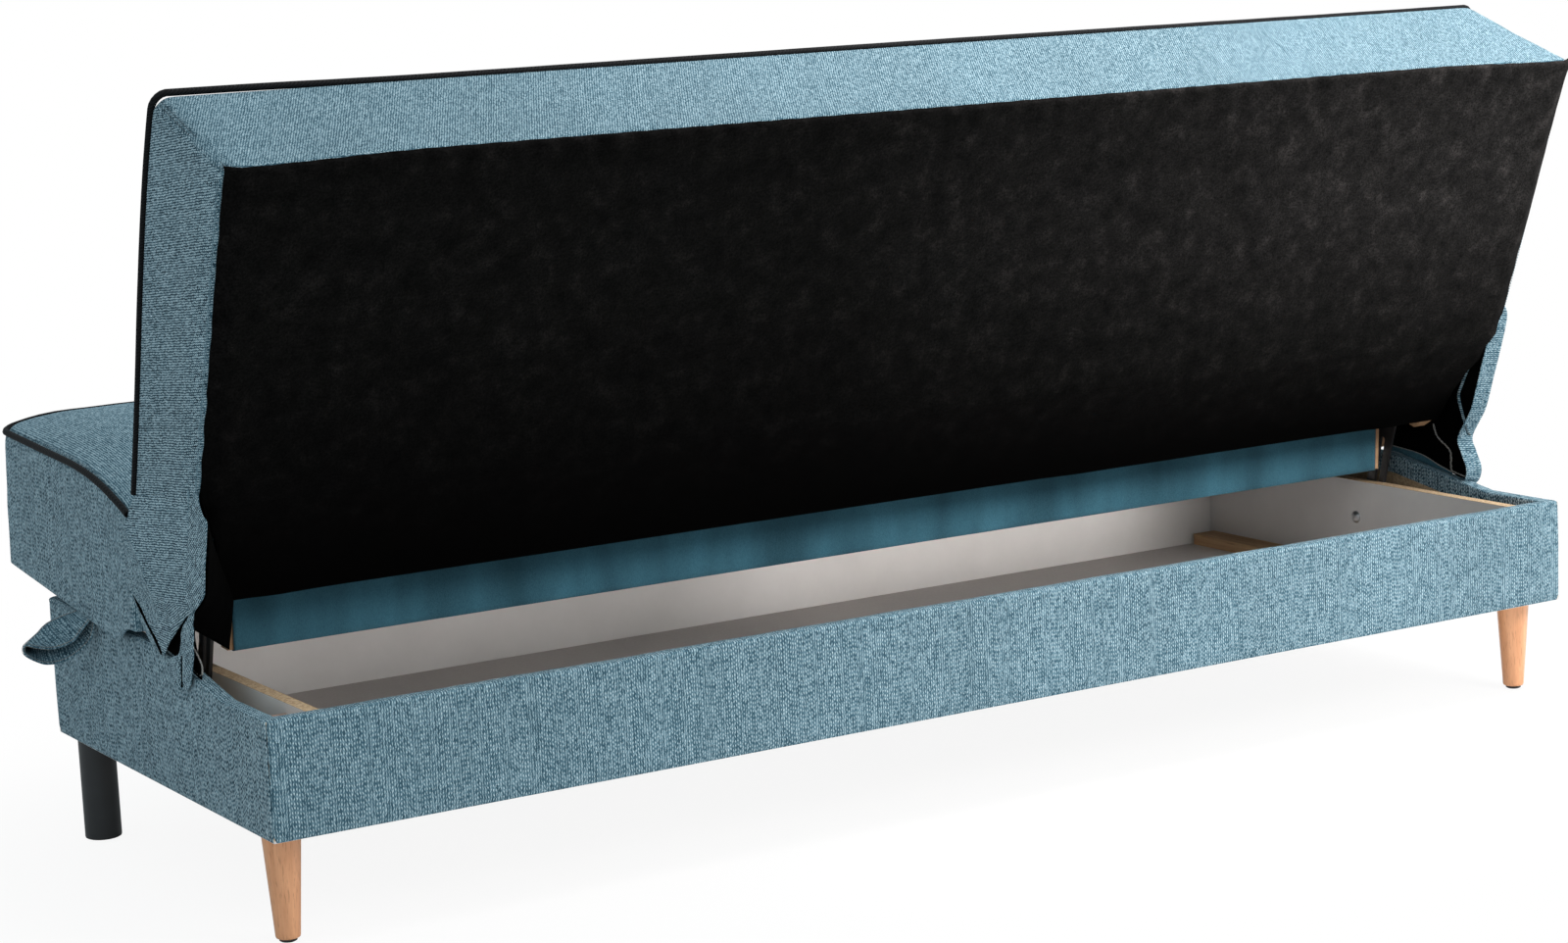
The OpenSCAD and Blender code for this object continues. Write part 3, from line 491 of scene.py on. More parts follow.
beech = wood_grain("lacquered_beech", (0.76, 0.375, 0.185), (0.60, 0.265, 0.118), (1, 1, 0.07), 95.0, 0.42, 0.35)
pine = wood_grain("sawn_pine", (0.66, 0.44, 0.24), (0.44, 0.26, 0.12), (1, 0.06, 1), 70.0, 0.75)
rail_pine = wood_grain("rail_pine", (0.55, 0.34, 0.19), (0.33, 0.17, 0.08), (0.06, 1, 0.5), 60.0, 0.75)
block_wood = wood_grain("block_wood", (0.62, 0.42, 0.33), (0.46, 0.28, 0.21), (1, 1, 0.1), 60.0, 0.8)

# %% Laminated chipboard and hardboard


def chips(n, spot):
    """Colour and height of pressed wood chips."""
    cells = n.add("TexVoronoi", {"Vector": spot, "Scale": 420.0, "Randomness": 1.0})
    tint = n.ramp(cells.outputs["Color"], (0.1, (0.30, 0.185, 0.095)), (0.5, (0.50, 0.35, 0.20)),
                  (0.9, (0.66, 0.50, 0.32)))
    dust = n.two_tone(n.speckle(spot, 900.0, 3.0), (0.25, 0.16, 0.09), (0.66, 0.50, 0.33))
    return n.mix(0.35, tint, dust), cells.outputs["Distance"]


laminate, n = new_material("laminated_board", 0.38)
spot = n.place()
sawn = n.number("GREATER_THAN", n.part(spot, "Z"), RIM - 0.0004)
white = n.two_tone(n.speckle(spot, 9.0, 5.0, 0.6), (0.72, 0.70, 0.685), (0.80, 0.78, 0.765))
n.paint(n.mix(sawn, white, chips(n, spot)[0]))
n.paint(n.two_tone(sawn, (0.38,) * 3, (0.9,) * 3, 0.0, 1.0), "Roughness")
n.bump(n.speckle(spot, 260.0, 1.0), 0.0002, 0.15)

chipboard, n = new_material("raw_chipboard", 0.9)
raw, chip_height = chips(n, n.place())
n.paint(raw)
n.bump(chip_height, 0.0005, 0.5)

hardboard, n = new_material("smooth_hardboard", 0.55)
spot = n.place()
felt = n.speckle(spot, 260.0, 4.0, 0.7)
worn = n.two_tone(n.speckle(spot, 4.0, 4.0), (0.92, 0.92, 0.92), (1.05, 1.04, 1.03))
n.paint(n.shade(n.two_tone(felt, (0.60, 0.56, 0.54), (0.69, 0.65, 0.63)), worn))
n.bump(felt, 0.0002, 0.3)
print("wood, laminate, chipboard and hardboard ready")

# %% Painted steel, bright steel and black plastic


def plain_finish(name, dark, pale, roughness, scale, depth, metallic=0.0):
    material, n = new_material(name, roughness, Metallic=metallic)
    spot = n.place()
    cloudy = n.speckle(spot, 24.0, 5.0)
    n.paint(n.two_tone(cloudy, dark, pale))
    n.paint(n.two_tone(cloudy, (roughness - 0.08,) * 3, (roughness + 0.1,) * 3, 0.2, 0.8), "Roughness")
    n.bump(n.speckle(spot, scale), depth, 0.4)
    return material


black_paint = plain_finish("black_paint", (0.012, 0.012, 0.013), (0.03, 0.03, 0.032), 0.35, 500.0, 0.0002)
zinc = plain_finish("zinc_plate", (0.52, 0.53, 0.55), (0.68, 0.69, 0.70), 0.32, 700.0, 0.0001, 1.0)
black_plastic = plain_finish("black_plastic", (0.008, 0.009, 0.010), (0.018, 0.019, 0.021), 0.45, 900.0, 0.0001)

nodes_of = {
    chipboard: ("end_board",), laminate: ("rear_board", "front_board", "partition"),
    hardboard: ("chest_floor", "seat_deck", "back_deck"), pine: ("floor_battens",), block_wood: ("corner_blocks",),
    beech: ("leg_rear",), rail_pine: ("seat_rail", "seat_bars", "back_rail", "back_bars"),
    lining: ("seat_dust_cover",), black_plastic: ("leg_glides", "foot_front"),
    zinc: ("leg_studs", "bracket_bolts", "bracket_screws", "back_pivot_pins", "seat_pivot_pins",
           "seat_arm_screws", "back_arm_screws"),
    black_paint: ("bracket_left", "bracket_right", "seat_arm_left", "seat_arm_right", "back_arm_left",
                  "back_arm_right")}
dressed = 0
for finish, starts in nodes_of.items():
    for name, node in nodes.items():
        if name.startswith(starts):
            if node.material_slots:
                node.material_slots[0].material = finish
            else:
                node.data.materials.append(finish)
            dressed += 1
print("nodes with a finish:", dressed)

# %% [markdown]
# ## The cover of the box
# One sewn sleeve goes round the box. On the real box it is stapled below, pulled up over the outside,
# rolled over the sawn edges and stapled again inside, so its rim is soft and round. A closed grid of
# cloth follows the outline of the box, and its rows go from the inner edge over the rim and down.

# %% Outline of the box and the line of its rim
DEEP = 0.3395     # half the depth of the box
FRONT_RIM = 0.296
RISE_FROM, RISE_TO, RISE = 0.215, 0.030, 0.032     # the end boards rise between these two places


def rim_height(y):
    """Top of the boards: level behind, rising under the seat."""
    if y > RISE_TO:
        return RIM + RISE * clamp((RISE_FROM - y) / (RISE_FROM - RISE_TO))
    return RIM + RISE + (FRONT_RIM - RIM - RISE) * (RISE_TO - y) / (DEEP + RISE_TO)


def rounded_box(half_x, half_y, radius, pitch):
    """Points round a rectangle with round corners, each with its outward direction."""
    points = []
    sides = ((1, 0), (0, 1), (-1, 0), (0, -1))
    for k, (dx, dy) in enumerate(sides):
        ex, ey = -dy, dx
        run = (half_y if dx else half_x) - radius
        steps = max(2, round(2 * run / pitch))
        for i in range(steps):
            t = -run + 2 * run * i / steps
            points.append((Vector((dx * half_x + ex * t, dy * half_y + ey * t)), Vector((dx, dy))))
        for i in range(5):
            turn = radians(18 * i)
            out = Vector((dx * cos(turn) + ex * sin(turn), dy * cos(turn) + ey * sin(turn)))
            middle = Vector((dx * (half_x - radius) + ex * run, dy * (half_y - radius) + ey * run))
            points.append((middle + out * radius, out))
    return points


box_line = rounded_box(BOARD, DEEP, 0.004, 0.012)
print("points round the box:", len(box_line))

# %% The sleeve of cloth round the box
COVER = 0.0016    # thickness of the cover
ROUND = 0.0028    # height of the rim's rounding
COVER_FOOT = 0.1272
INSIDE, OVER = 0.30, 0.52     # rows up to these shares lie inside the rim and over it


def cover_point(i, row):
    """row: 0 is the inner edge of the turned-in lip, 1 the bottom edge outside."""
    spot, out = box_line[i % len(box_line)]
    top = rim_height(spot.y) - ROUND
    inside = Vector((clamp(spot.x, -INNER, INNER), clamp(spot.y, 0.016 - DEEP, DEEP - 0.016)))
    slack = 0.0007 * ripple(spot.x * 9, spot.y * 9, row * 3) + 0.0004 * ripple(spot.x * 60, spot.y * 60, 4)
    if row < INSIDE:
        t = row / INSIDE
        pull = 0.0012 * ripple(spot.x * 22, spot.y * 22, 7) * (1 - t)
        near = inside - out * (COVER + 0.0002 + abs(pull))
        return on_box(near.x, near.y, top - 0.0215 * (1 - t))
    if row < OVER:
        turn = pi * (row - INSIDE) / (OVER - INSIDE)
        middle, reach = (inside + spot) / 2, (spot - inside).length / 2 + COVER
        flat = copysign(abs(cos(turn)) ** 0.55, -cos(turn))
        return on_box(middle.x + out.x * reach * flat, middle.y + out.y * reach * flat,
                      top + (COVER + 0.0032 + slack) * sin(turn) ** 0.55)
    t = (row - OVER) / (1 - OVER)
    belly = 0.0006 * sin(pi * t) + slack * sin(pi * clamp(t * 1.2))
    reach = COVER + belly - 0.0016 * ease((t - 0.96) / 0.04)
    return on_box(spot.x + out.x * reach, spot.y + out.y * reach, top + (COVER_FOOT - top) * t)


count = len(box_line)
bm = laid_grid(count, 40, lambda a, b: cover_point(round(a * count) % count, b), (1, 1))
bmesh.ops.remove_doubles(bm, verts=bm.verts, dist=1e-6)
bmesh.ops.recalc_face_normals(bm, faces=bm.faces)
box_cover = as_piece("box_cover", bm, WOVEN, "base")
weave_by_facing(box_cover, 0.0, ribs_up=True, stretch=0.875)
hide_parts("base_cover")
print("box cover:", len(box_cover.data.polygons), "faces")

# %% [markdown]
# ## The padding of the back
# The back is a wooden frame with springs and foam over it. Its face is a crowned panel, sewn with
# black piping to a border that runs up one end, over the top and down the other end. The border is
# pulled in a little between its edges, turned over the rear edge and stapled. The form is made as one
# closed loop of cloth: the outline of the face, with rows from the pocket behind it, over the rear
# edge, across the border, under the piping and over the face to its middle.

# %% Outline of the back
TOP = 0.555
FOOT, FOOT_END = 0.045, 0.058
FRAME_REAR, FRAME_FACE, PAD_REAR, PAD_FACE = 0.1094, 0.0584, 0.0543, -0.0797
TAPER = 0.153     # height up to which the frame's ends are slanted
CORNER = 0.020    # radius of a cushion's corners
WALL = 0.9122     # end of the pocket for the frame
STEP = 0.912      # outside of this place the foot steps up
FOLD_X, BACK_MIDDLE, SEAT_MIDDLE = 0.70, 0.300, -0.20     # ends and heights of the fold lines
GROOVE, GROOVE_WIDE = 0.0085, 0.0095     # depth and width of the seam with the piping
PRESSED = 0.0022  # how far the staples press the back's rear edge in
DRAWN = 0.0022    # how far the back's border is drawn in between its edges
CROWN_RUN = 0.26  # run at each end in which a cushion's crown comes down


def long_edge(pitch=0.022):
    """The places along half of a long edge that both edges share."""
    steps = round(FOLD_X / pitch)
    return [FOLD_X * i / steps for i in range(steps + 1)]


def half_outline(foot, foot_end, top, step_x, radius):
    """Half of an outline, from the middle of the foot round the end to the middle of the top."""
    line = [(x, foot) for x in long_edge()]
    line += [(0.72 + 0.02 * i, foot) for i in range(8) if 0.72 + 0.02 * i < step_x - 0.003]
    line += [(step_x - 0.0008, foot), (step_x, foot_end)]
    line += [(x, foot_end) for x in (0.895, 0.912, 0.926, 0.938, 0.946)]
    rise = abs(top - foot_end)
    way = 1 if top > foot_end else -1
    steps = round((rise - radius - 0.004) / 0.014)
    line += [(HALF, foot_end + way * (0.004 + (rise - radius - 0.004) * i / steps)) for i in range(steps + 1)]
    for turn in (15, 30, 45, 60, 75, 90):
        a = radians(turn)
        line.append((HALF - radius + radius * cos(a), top - way * (radius - radius * sin(a))))
    line += [(x, top) for x in (0.915, 0.900, 0.88, 0.86, 0.84, 0.82, 0.80, 0.78, 0.76, 0.74, 0.72)]
    return line + [(x, top) for x in reversed(long_edge())]


def whole_outline(half):
    return half + [(-x, v) for x, v in reversed(half[1:-1])]


def crown(x, off):
    """1 in the middle of a cushion, 0 along its edges. off goes from -1 to 1 between the long edges."""
    return (1 - clamp((abs(x) - HALF + CROWN_RUN) / CROWN_RUN) ** 2.2) * (1 - min(1.0, abs(off)) ** 2.6)


def face_of_back(x, u):
    """Front of the back's padding: thicker towards its top and crowned towards its middle."""
    t = clamp((u - FOOT) / (TOP - FOOT))
    swell = 0.017 * ease(t) + 0.054 * t * t * (1 - t)
    return PAD_FACE - swell - 0.010 * crown(x, (u - BACK_MIDDLE) / 0.255)


def foot_slant(x, u):
    """How far the front is cut back along the foot, where the seat swings past it."""
    return 0.021 * clamp(1 - (u - FOOT) / 0.022) if abs(x) < 0.8765 else 0.0


def top_arch(x):
    """The rear edge of the top rises a little between the corners."""
    return 0.0055 * ease((HALF - abs(x)) / 0.25)


def round_end(x):
    """The rear edge is rounded forward at both ends."""
    return 0.009 * ease((abs(x) - 0.926) / 0.024)


back_line = whole_outline(half_outline(FOOT, FOOT_END, TOP, 0.877, CORNER))
print("points round the back:", len(back_line))

# %% Rows of the back, from the pocket to the middle of the face


def rear_edge(x, u):
    """How far behind the hinge line the rear edge lies. It comes forward along the frame's slanted foot."""
    if abs(x) < STEP and u < 0.06:
        return PAD_REAR
    if u < TAPER:
        slant = clamp((u - FOOT_END) / (TAPER - FOOT_END))
        return FRAME_FACE + 0.002 + (FRAME_REAR - FRAME_FACE - 0.002) * slant
    return FRAME_REAR


def inward(x, v, middle):
    """From an edge point to the fold line in the middle of the panel."""
    return Vector((clamp(x, -FOLD_X, FOLD_X) - x, middle - v))


def away(x, u, centre, corner_x, corner_u):
    """Outward direction of an outline point."""
    if abs(x) > corner_x and (u - corner_u) * (1 if corner_u > centre else -1) > 0:
        out = Vector((abs(x) - corner_x, u - corner_u)).normalized()
        return Vector((copysign(out.x, x), out.y))
    if abs(x) > HALF - 0.0005:
        return Vector((copysign(1.0, x), 0))
    return Vector((0, 1.0 if u > centre else -1.0))


def back_wall(x, u):
    """The edge of the pocket that the frame sits in."""
    return Vector((clamp(x, -WALL, WALL), min(u, 0.550)))


def back_away(x, u):
    return away(x, u, BACK_MIDDLE, HALF - CORNER, TOP - CORNER)


def back_pocket(x, u, share):
    spot = back_wall(x, u)
    spot += inward(*spot, BACK_MIDDLE) * share
    return on_back(spot.x, PAD_REAR, spot.y)


def back_lip(x, u, share, depth):
    spot = back_wall(x, u).lerp(Vector((x, u)), share)
    out = back_away(x, u) * (PRESSED * ease(share))
    n = rear_edge(x, u) - round_end(spot.x)
    n -= depth * (n - PAD_REAR)
    arch = top_arch(x) * share if u > 0.5 else 0.0
    return on_back(spot.x - out.x, n, spot.y - out.y + arch)


HEM = 0.0975      # line of the seam along the ends


def back_border(x, u, share):
    """0 at the rear edge, 1 at the seam with the face."""
    n0 = rear_edge(x, u) - PRESSED - round_end(x)
    n1 = face_of_back(x, u) + max(GROOVE, foot_slant(x, u))
    out = back_away(x, u)
    n = n0 + (n1 - n0) * share
    move = border_bow(x, u, share, DRAWN, 0.0009, 0.0)
    if abs(x) > HALF - CORNER and u > TOP - CORNER:
        turn = degrees(atan2(u - TOP + CORNER, abs(x) - HALF + CORNER))
        move -= 0.0014 * exp(-((turn - 45) / 11) ** 2)
    if abs(out.x) > 0.7:
        move -= 0.0010 * exp(-((n - HEM) / 0.0016) ** 2)
        move += 0.0036 * ease((share - 0.03) / 0.12) * ease((0.62 - share) / 0.4)
    if u < 0.06 and abs(x) < 0.948:
        move = 0.0
    arch = top_arch(x) * (1 - share) ** 1.5 if u > 0.5 else 0.0
    return on_back(x + out.x * move, n, u + out.y * move + arch)


def border_bow(x, v, share, drawn, uneven, seed):
    """How far a border stands out: it is drawn in between its edges, uneven, and pinched at the piping."""
    bow = sin(pi * share)
    drawn *= bow * (0.6 + 0.4 * ripple(x * 2.2, v * 3, seed))
    return uneven * ripple(x * 11, v * 14, share * 5) * bow - drawn - 0.0012 * ease((share - 0.965) / 0.035)


def face_swell(spot, gap, rise, seed):
    """How far a face stands up beside its seam, with slow waves further in."""
    return rise * (1 - exp(-gap / 0.03)) + 0.0012 * ripple(spot.x * 4.5, spot.y * 6, seed) * ease(gap / 0.08)


def pleat(x, v, gap):
    """The face's cloth is gathered a little where it runs into its seam."""
    return 0.0010 * ripple(x * 34, v * 34, 2) * exp(-gap / 0.018) * (1 if gap > 0.003 else 0)


def back_face(x, u, share):
    """0 at the seam, 1 on the fold line in the middle."""
    step = inward(x, u, BACK_MIDDLE)
    spot = Vector((x, u)) + step * share
    gap = step.length * share
    swell = face_swell(spot, gap, 0.0022, 9) * ease((spot.y - 0.06) / 0.08)
    groove = max(GROOVE * (1 - ease(gap / GROOVE_WIDE)), foot_slant(spot.x, spot.y))
    return on_back(spot.x, face_of_back(spot.x, spot.y) + groove + pleat(x, u, gap) - swell, spot.y)


END_SLANT = 0.46  # slant of the ribs on the back's ends
back_pad = as_piece("back_padding", ring_block(back_line, back_pocket, back_lip, back_border, back_face),
                    WOVEN, "back")
weave_by_facing(back_pad, lean, slant=END_SLANT)
soften(back_pad)
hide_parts("back_cushion")
print("back padding:", len(back_pad.data.polygons), "faces before smoothing")

# %% [markdown]
# ## The padding of the seat
# The seat is made like the back, lying down. Its top is crowned and falls away towards the back's
# foot, its front leans back a little, and its rear ends are cut short to make room for the back. At
# both ends the cloth hangs down outside the box, lower towards the rear.

# %% Outline and top of the seat
SEAT_FRONT, SEAT_REAR, SEAT_END = -0.4475, 0.061, -0.008
SEAT_HIGH, RAKE, DECK = 0.170, 0.010, 0.0546
TOP_END = -0.015  # rear edge of the seat's crowned top


def top_of_seat(y):
    return SEAT_HIGH - 0.033 * (max(0.0, y + 0.206) / 0.206) ** 2


def front_rise(x, y):
    """The top rises towards the front between the corners."""
    return 0.013 * (1 - clamp((abs(x) - 0.860) / 0.090) ** 2) * clamp((TOP_END - y) / 0.26)


def crown_of_seat(x, y):
    middle, reach = (SEAT_FRONT + TOP_END) / 2, (TOP_END - SEAT_FRONT) / 2
    return top_of_seat(y) + 0.015 * crown(x, (y - middle) / reach) + front_rise(x, y)


seat_line = whole_outline(half_outline(SEAT_REAR, SEAT_END, SEAT_FRONT, 0.867, CORNER))
print("points round the seat:", len(seat_line))

# %% Rows of the seat


def raked(y, z):
    """The front leans back and is drawn in: lower rows stand further forward."""
    t = clamp(z / SEAT_HIGH)
    return y - RAKE * (1 - t) * ease((-0.30 - y) / 0.12) - 0.006 * sin(pi * t) * ease((-0.40 - y) / 0.04)


def end_hem(x, y):
    """The end's cloth hangs lower towards the rear, outside the box: 3 mm in front, 24 mm behind."""
    low = max(0.0, 0.0034 + 0.0585 * (y + 0.407)) * ease((-0.034 - y) / 0.026)
    return low * ease((abs(x) - 0.9412) / 0.0080) if y > -0.44 else 0.0


def seat_bottom(x, y):
    return 0.0 if abs(x) > STEP or y < SEAT_MIDDLE else DECK


def seat_wall(x, y):
    return Vector((clamp(x, -WALL, WALL), max(y, SEAT_FRONT + 0.001)))


def seat_pocket(x, y, share):
    wall = seat_wall(x, y)
    step = inward(wall.x, wall.y, SEAT_MIDDLE) * share
    return on_seat(wall.x + step.x, wall.y + step.y, DECK)


def seat_lip(x, y, share, depth):
    spot = seat_wall(x, y).lerp(Vector((x, y)), share)
    low = seat_bottom(x, y)
    z = low + depth * (DECK - low) - end_hem(spot.x, spot.y)
    return on_seat(spot.x, raked(spot.y, z) if y < SEAT_MIDDLE else spot.y, z)


def seat_border(x, y, share):
    """0 at the bottom edge, 1 at the seam with the top."""
    low, high = seat_bottom(x, y) - end_hem(x, y) + 0.002, top_of_seat(y) + front_rise(x, y) - GROOVE
    out = away(x, y, SEAT_MIDDLE, HALF - CORNER, SEAT_FRONT + CORNER)
    move = border_bow(x, y, share, 0.0024, 0.0010, 3)
    if y > SEAT_END - 0.001:
        high, move = top_of_seat(y) - 0.012, 0.0
    z = low + (high - low) * share
    return on_seat(x + out.x * move, raked(y + out.y * move, z), z)


def seat_face(x, y, share):
    """0 at the seam, 1 on the fold line in the middle."""
    step = inward(x, y, SEAT_MIDDLE)
    spot = Vector((x, y)) + step * share
    gap = step.length * share
    swell = face_swell(spot, gap, 0.0020, 5) * ease((-0.02 - spot.y) / 0.10)
    groove = GROOVE * (1 - ease(gap / GROOVE_WIDE))
    return on_seat(spot.x, spot.y, crown_of_seat(spot.x, spot.y) - groove - pleat(x, y, gap) + swell)


seat_pad = as_piece("seat_padding", ring_block(seat_line, seat_pocket, seat_lip, seat_border, seat_face),
                    WOVEN, "seat")
weave_by_facing(seat_pad, tilt, ribs_up=True, stretch=0.9)
soften(seat_pad)
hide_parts("seat_cushion")
print("seat padding:", len(seat_pad.data.polygons), "faces before smoothing")

# %% [markdown]
# ## Piping
# Piping is a strip of cloth sewn round a cord, set into the seam between face and border. A curve
# with a round bevel follows the seam, and becomes a mesh with its twist marked along it.

# %% Piping along both seams


def soft_tube(name, points, radius, finish, body=None):
    curve = bpy.data.curves.new(name, "CURVE")
    curve.dimensions = "3D"
    curve.bevel_depth = radius
    curve.bevel_resolution = 3
    curve.use_fill_caps = True
    spline = curve.splines.new("POLY")
    spline.points.add(len(points) - 1)
    for spot, p in zip(spline.points, points):
        spot.co = (*p, 1)
    holder = in_scene(name + "_curve", curve)
    bpy.context.view_layer.update()
    mesh = bpy.data.meshes.new_from_object(holder.evaluated_get(bpy.context.evaluated_depsgraph_get()))
    bpy.data.objects.remove(holder)
    mesh.name = name
    mesh.materials.clear()
    return dressed_piece(name, mesh, finish, body)


def seam_line(outline, cut, place):
    """The part of an outline that carries piping, as places."""
    kept = [p for p in outline if cut(p)]
    start = next(i for i in range(len(outline)) if cut(outline[i]) and not cut(outline[i - 1]))
    order = [outline[(start + i) % len(outline)] for i in range(len(kept))]
    return [place(*p) for p in order]


CORD = 0.0041     # radius of the piping
CORD_X = 1 - 0.0012 / HALF     # it lies this much nearer to the middle than the cushion's end


def wander(x, v):
    return 0.0005 * ripple(x * 14, v * 14, 6)


def back_cord(x, u):
    """The top cord droops a little towards the far end and rises towards the near corner."""
    sag = 0.0026 * ease((x - 0.60) / 0.3) - 0.0024 * ease(0.1 - x) if u > 0.5 else 0.0
    return on_back(x * CORD_X, face_of_back(x, u) + 0.0022 + wander(x, u), min(u, TOP - 0.0012) + sag)


def seat_cord(x, y):
    return on_seat(x * CORD_X, max(y, SEAT_FRONT + 0.0012),
                   top_of_seat(y) + front_rise(x, y) - 0.0022 + wander(x, y))


back_seam = seam_line(back_line, lambda p: p[1] > 0.0655, back_cord)
back_piping = soft_tube("back_cord_piping", back_seam, CORD, PIPED, "back")
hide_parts("back_piping")
seat_seam = seam_line(seat_line, lambda p: p[1] < -0.0105, seat_cord)
seat_piping = soft_tube("seat_cord_piping", seat_seam, CORD, PIPED, "seat")
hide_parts("seat_piping")
print("piping points:", len(back_seam), "and", len(seat_seam))

# %% [markdown]
# ## The black lining behind the back
# The lining is stapled along the frame. It hangs a little slack, so soft folds run down from its
# top edge, and below it narrows with the frame, where its corners are folded in on the slant.

# %% Lining of the back
LINING, LINING_FOOT = 0.111, 0.059     # how far behind the hinge line it lies, flat and at its foot
LINING_X = 0.9478     # its end on the flat part
LINING_TOP, LINING_END = TOP - 0.001, 0.001     # its upper and lower edge


def lining_point(a, b):
    """a goes across, b from the top edge down to the foot."""
    run_low = hypot(LINING - LINING_FOOT, TAPER)
    flat = LINING_TOP - TAPER
    s = b * (flat + run_low)
    t = clamp((s - flat) / run_low)
    u = LINING_TOP - s if s <= flat else TAPER * (1 - t) + LINING_END * t
    n = LINING + (LINING_FOOT - LINING) * t
    edge = abs(a * 2 - 1)
    x = (a * 2 - 1) * (LINING_X - 0.030 * ease(t / 0.45))
    u += top_arch(x) * clamp((u - 0.30) / 0.25)
    x -= copysign(0.0020 * abs(ripple(u * 24, 8.0, 1 if x > 0 else 2)), x) * ease((edge - 0.97) / 0.03)
    inside = sin(pi * clamp(a)) ** 0.3
    staple = 0.5 + 0.5 * cos(2 * pi * x / 0.041 + 1.6 * ripple(x * 5, 1.0, 4.0))
    gather = 0.0046 * staple * exp(-s / 0.020) * ease(s / 0.005) + 0.0026 * ease(s / 0.006) * exp(-s / 0.035)
    pressed = 0.0012 * (1 - staple) * exp(-s / 0.010)
    folds = 0.0030 * max(0.0, ripple(x * 5.5 + s * 3.2, s * 3.0, 2.0)) * ease(s / 0.03) * inside
    tucks = 0.0026 * max(0.0, sin(edge * 30 + s * 34)) * ease((edge - 0.80) / 0.15) * ease((s - 0.24) / 0.08)
    # Where it rests on the box's rims when the back lies flat, it is smooth and pushed in by a millimetre.
    over_ends = ease((abs(x) - 0.80) / 0.03) * ease((0.31 - u) / 0.02) * ease((u - TAPER) / 0.02)
    rests = max(ease(1 - abs(u - 0.264) / 0.034), over_ends)
    proud = (gather - pressed + folds + tucks) * (1 - rests)
    return on_back(x, n + 0.0001 - 0.0010 * rests - round_end(x) + proud, u)


rear_lining = as_piece("rear_lining", laid_grid(420, 150, lining_point), LINED, "back")
thicken(rear_lining, SHEET)
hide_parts("back_dust_cover")
print("lining:", len(rear_lining.data.polygons), "faces")

# %% [markdown]
# ## The cloth round the seat's rear rail
# Below the back a long band of cloth shows: it is pulled round the seat's rear rail and stapled, so it
# is smooth with soft upright waves, and it stops just short of the rail's sawn ends. Its darker cloth is
# painted shade, for the back's shadow over it.

# %% Rear band of the seat
RAIL_Y0, RAIL_Y1, RAIL_LOW, BAND_TOP = 0.041, 0.061, -0.019, 0.094
RAIL, BEND = RAIL_Y1 - RAIL_Y0, 0.003     # thickness of the rail, and the run in which the cloth turns
OFF = 0.0006      # distance of the cloth from the rail


def band_point(a, b):
    """b goes down behind the rail, forward under it and up in front of it."""
    x = (a * 2 - 1) * 0.858
    face = BAND_TOP - RAIL_LOW
    s = b * (face + RAIL + 0.019)
    wave = 0.0011 * (1 + ripple(x * 9, s * 4, 1)) * ease(s / 0.03)
    tuck = 0.0012 * max(0.0, ripple(x * 30, s * 9, 4)) * ease((s - 0.07) / 0.03)
    crease = 0.0016 * (exp(-((x - 0.20) / 0.006) ** 2) + exp(-((x + 0.085) / 0.008) ** 2))
    out = OFF + wave + tuck - 0.5 * crease
    if s < face - BEND:
        return on_seat(x, RAIL_Y1 + out, BAND_TOP - s)
    if s < face + RAIL + BEND:
        t = clamp((s - face + BEND) / (2 * BEND))
        y = RAIL_Y1 + out * (1 - t) - max(0.0, s - face - BEND)
        return on_seat(x, y, RAIL_LOW - OFF - 0.0012 * ease(t))
    return on_seat(x, RAIL_Y0 - OFF, RAIL_LOW + (s - face - RAIL - BEND) - 0.001)


# Painted shade: the band takes the darker copy of the weave.
rear_band = as_piece("seat_rear_band", laid_grid(360, 44, band_point, (1.716, 0.152)), SHADED_WEAVE, "seat")
weave_by_facing(rear_band, tilt, ribs_up=True)
thicken(rear_band, 0.0010)
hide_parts("seat_rear_wrap")
print("rear band:", len(rear_band.data.polygons), "faces")

# %% [markdown]
# ## The flaps between the back and the box
# A flap hides each hinge. Its main panel hangs on from the end of the back, with a double seam along its
# rear hem, and narrows to a point at the box. A second strip comes out from under it and is tucked down
# beside the board, and black lining closes the gap behind both. Every panel is cut between a front line
# and a rear line, each given as (y, z) from its top to its foot.

# %% The panels of a flap


RIBS = END_SLANT - lean     # the flap goes on with the ribs of the back's end


def mm(*points):
    """A line of places that are given in millimetres."""
    return [(y / 1000, z / 1000) for y, z in points]


def panel(name, side, front, rear, depth, size, finish=WOVEN, turned=None, hem=0.0):
    """Cloth between two lines. depth(p, a, b) is its distance from the middle, turned(a, b, p) its ribs' angle.
    With a hem, the last sixth of the width is turned inward and faces the rear."""
    across, down = size
    one, two = even_steps(front, down), even_steps(rear, down)

    def place(a, b):
        k = round(b * down)
        t = min(1.0, a * 1.2) if hem else a
        p = one[k].lerp(two[k], t)
        x = depth(p, t, b)
        if hem:
            fold = clamp(a * 6 - 5)
            x -= hem * fold * ease(b / 0.14)
            p.x -= 0.004 * sin(pi * fold * 0.5) - 0.0012 * fold * ripple(b * 5, 3.0)
        floor_z = rim_height(p.x) + 0.0032 if x < 0.9395 else 0.0
        return on_box(side * x, p.x, max(p.y, floor_z))

    piece = as_piece(name, laid_grid(across, down, place, (1, 1)), finish)
    layer, mesh = piece.data.uv_layers["weave"], piece.data
    for face in mesh.polygons:
        spots = [layer.data[k].uv.copy() for k in face.loop_indices]
        a, b = sum(p.x for p in spots) / len(spots), sum(p.y for p in spots) / len(spots)
        k = min(down, round(b * down))
        turn = turned(a, b, one[k].lerp(two[k], a)) if turned else RIBS
        c, s = cos(turn), sin(turn)
        for k in face.loop_indices:
            co = mesh.vertices[mesh.loops[k].vertex_index].co
            run = co.y - side * co.x
            layer.data[k].uv = (run * c + co.z * s, co.z * c - run * s)
    thicken(piece, SHEET, -side)
    return piece


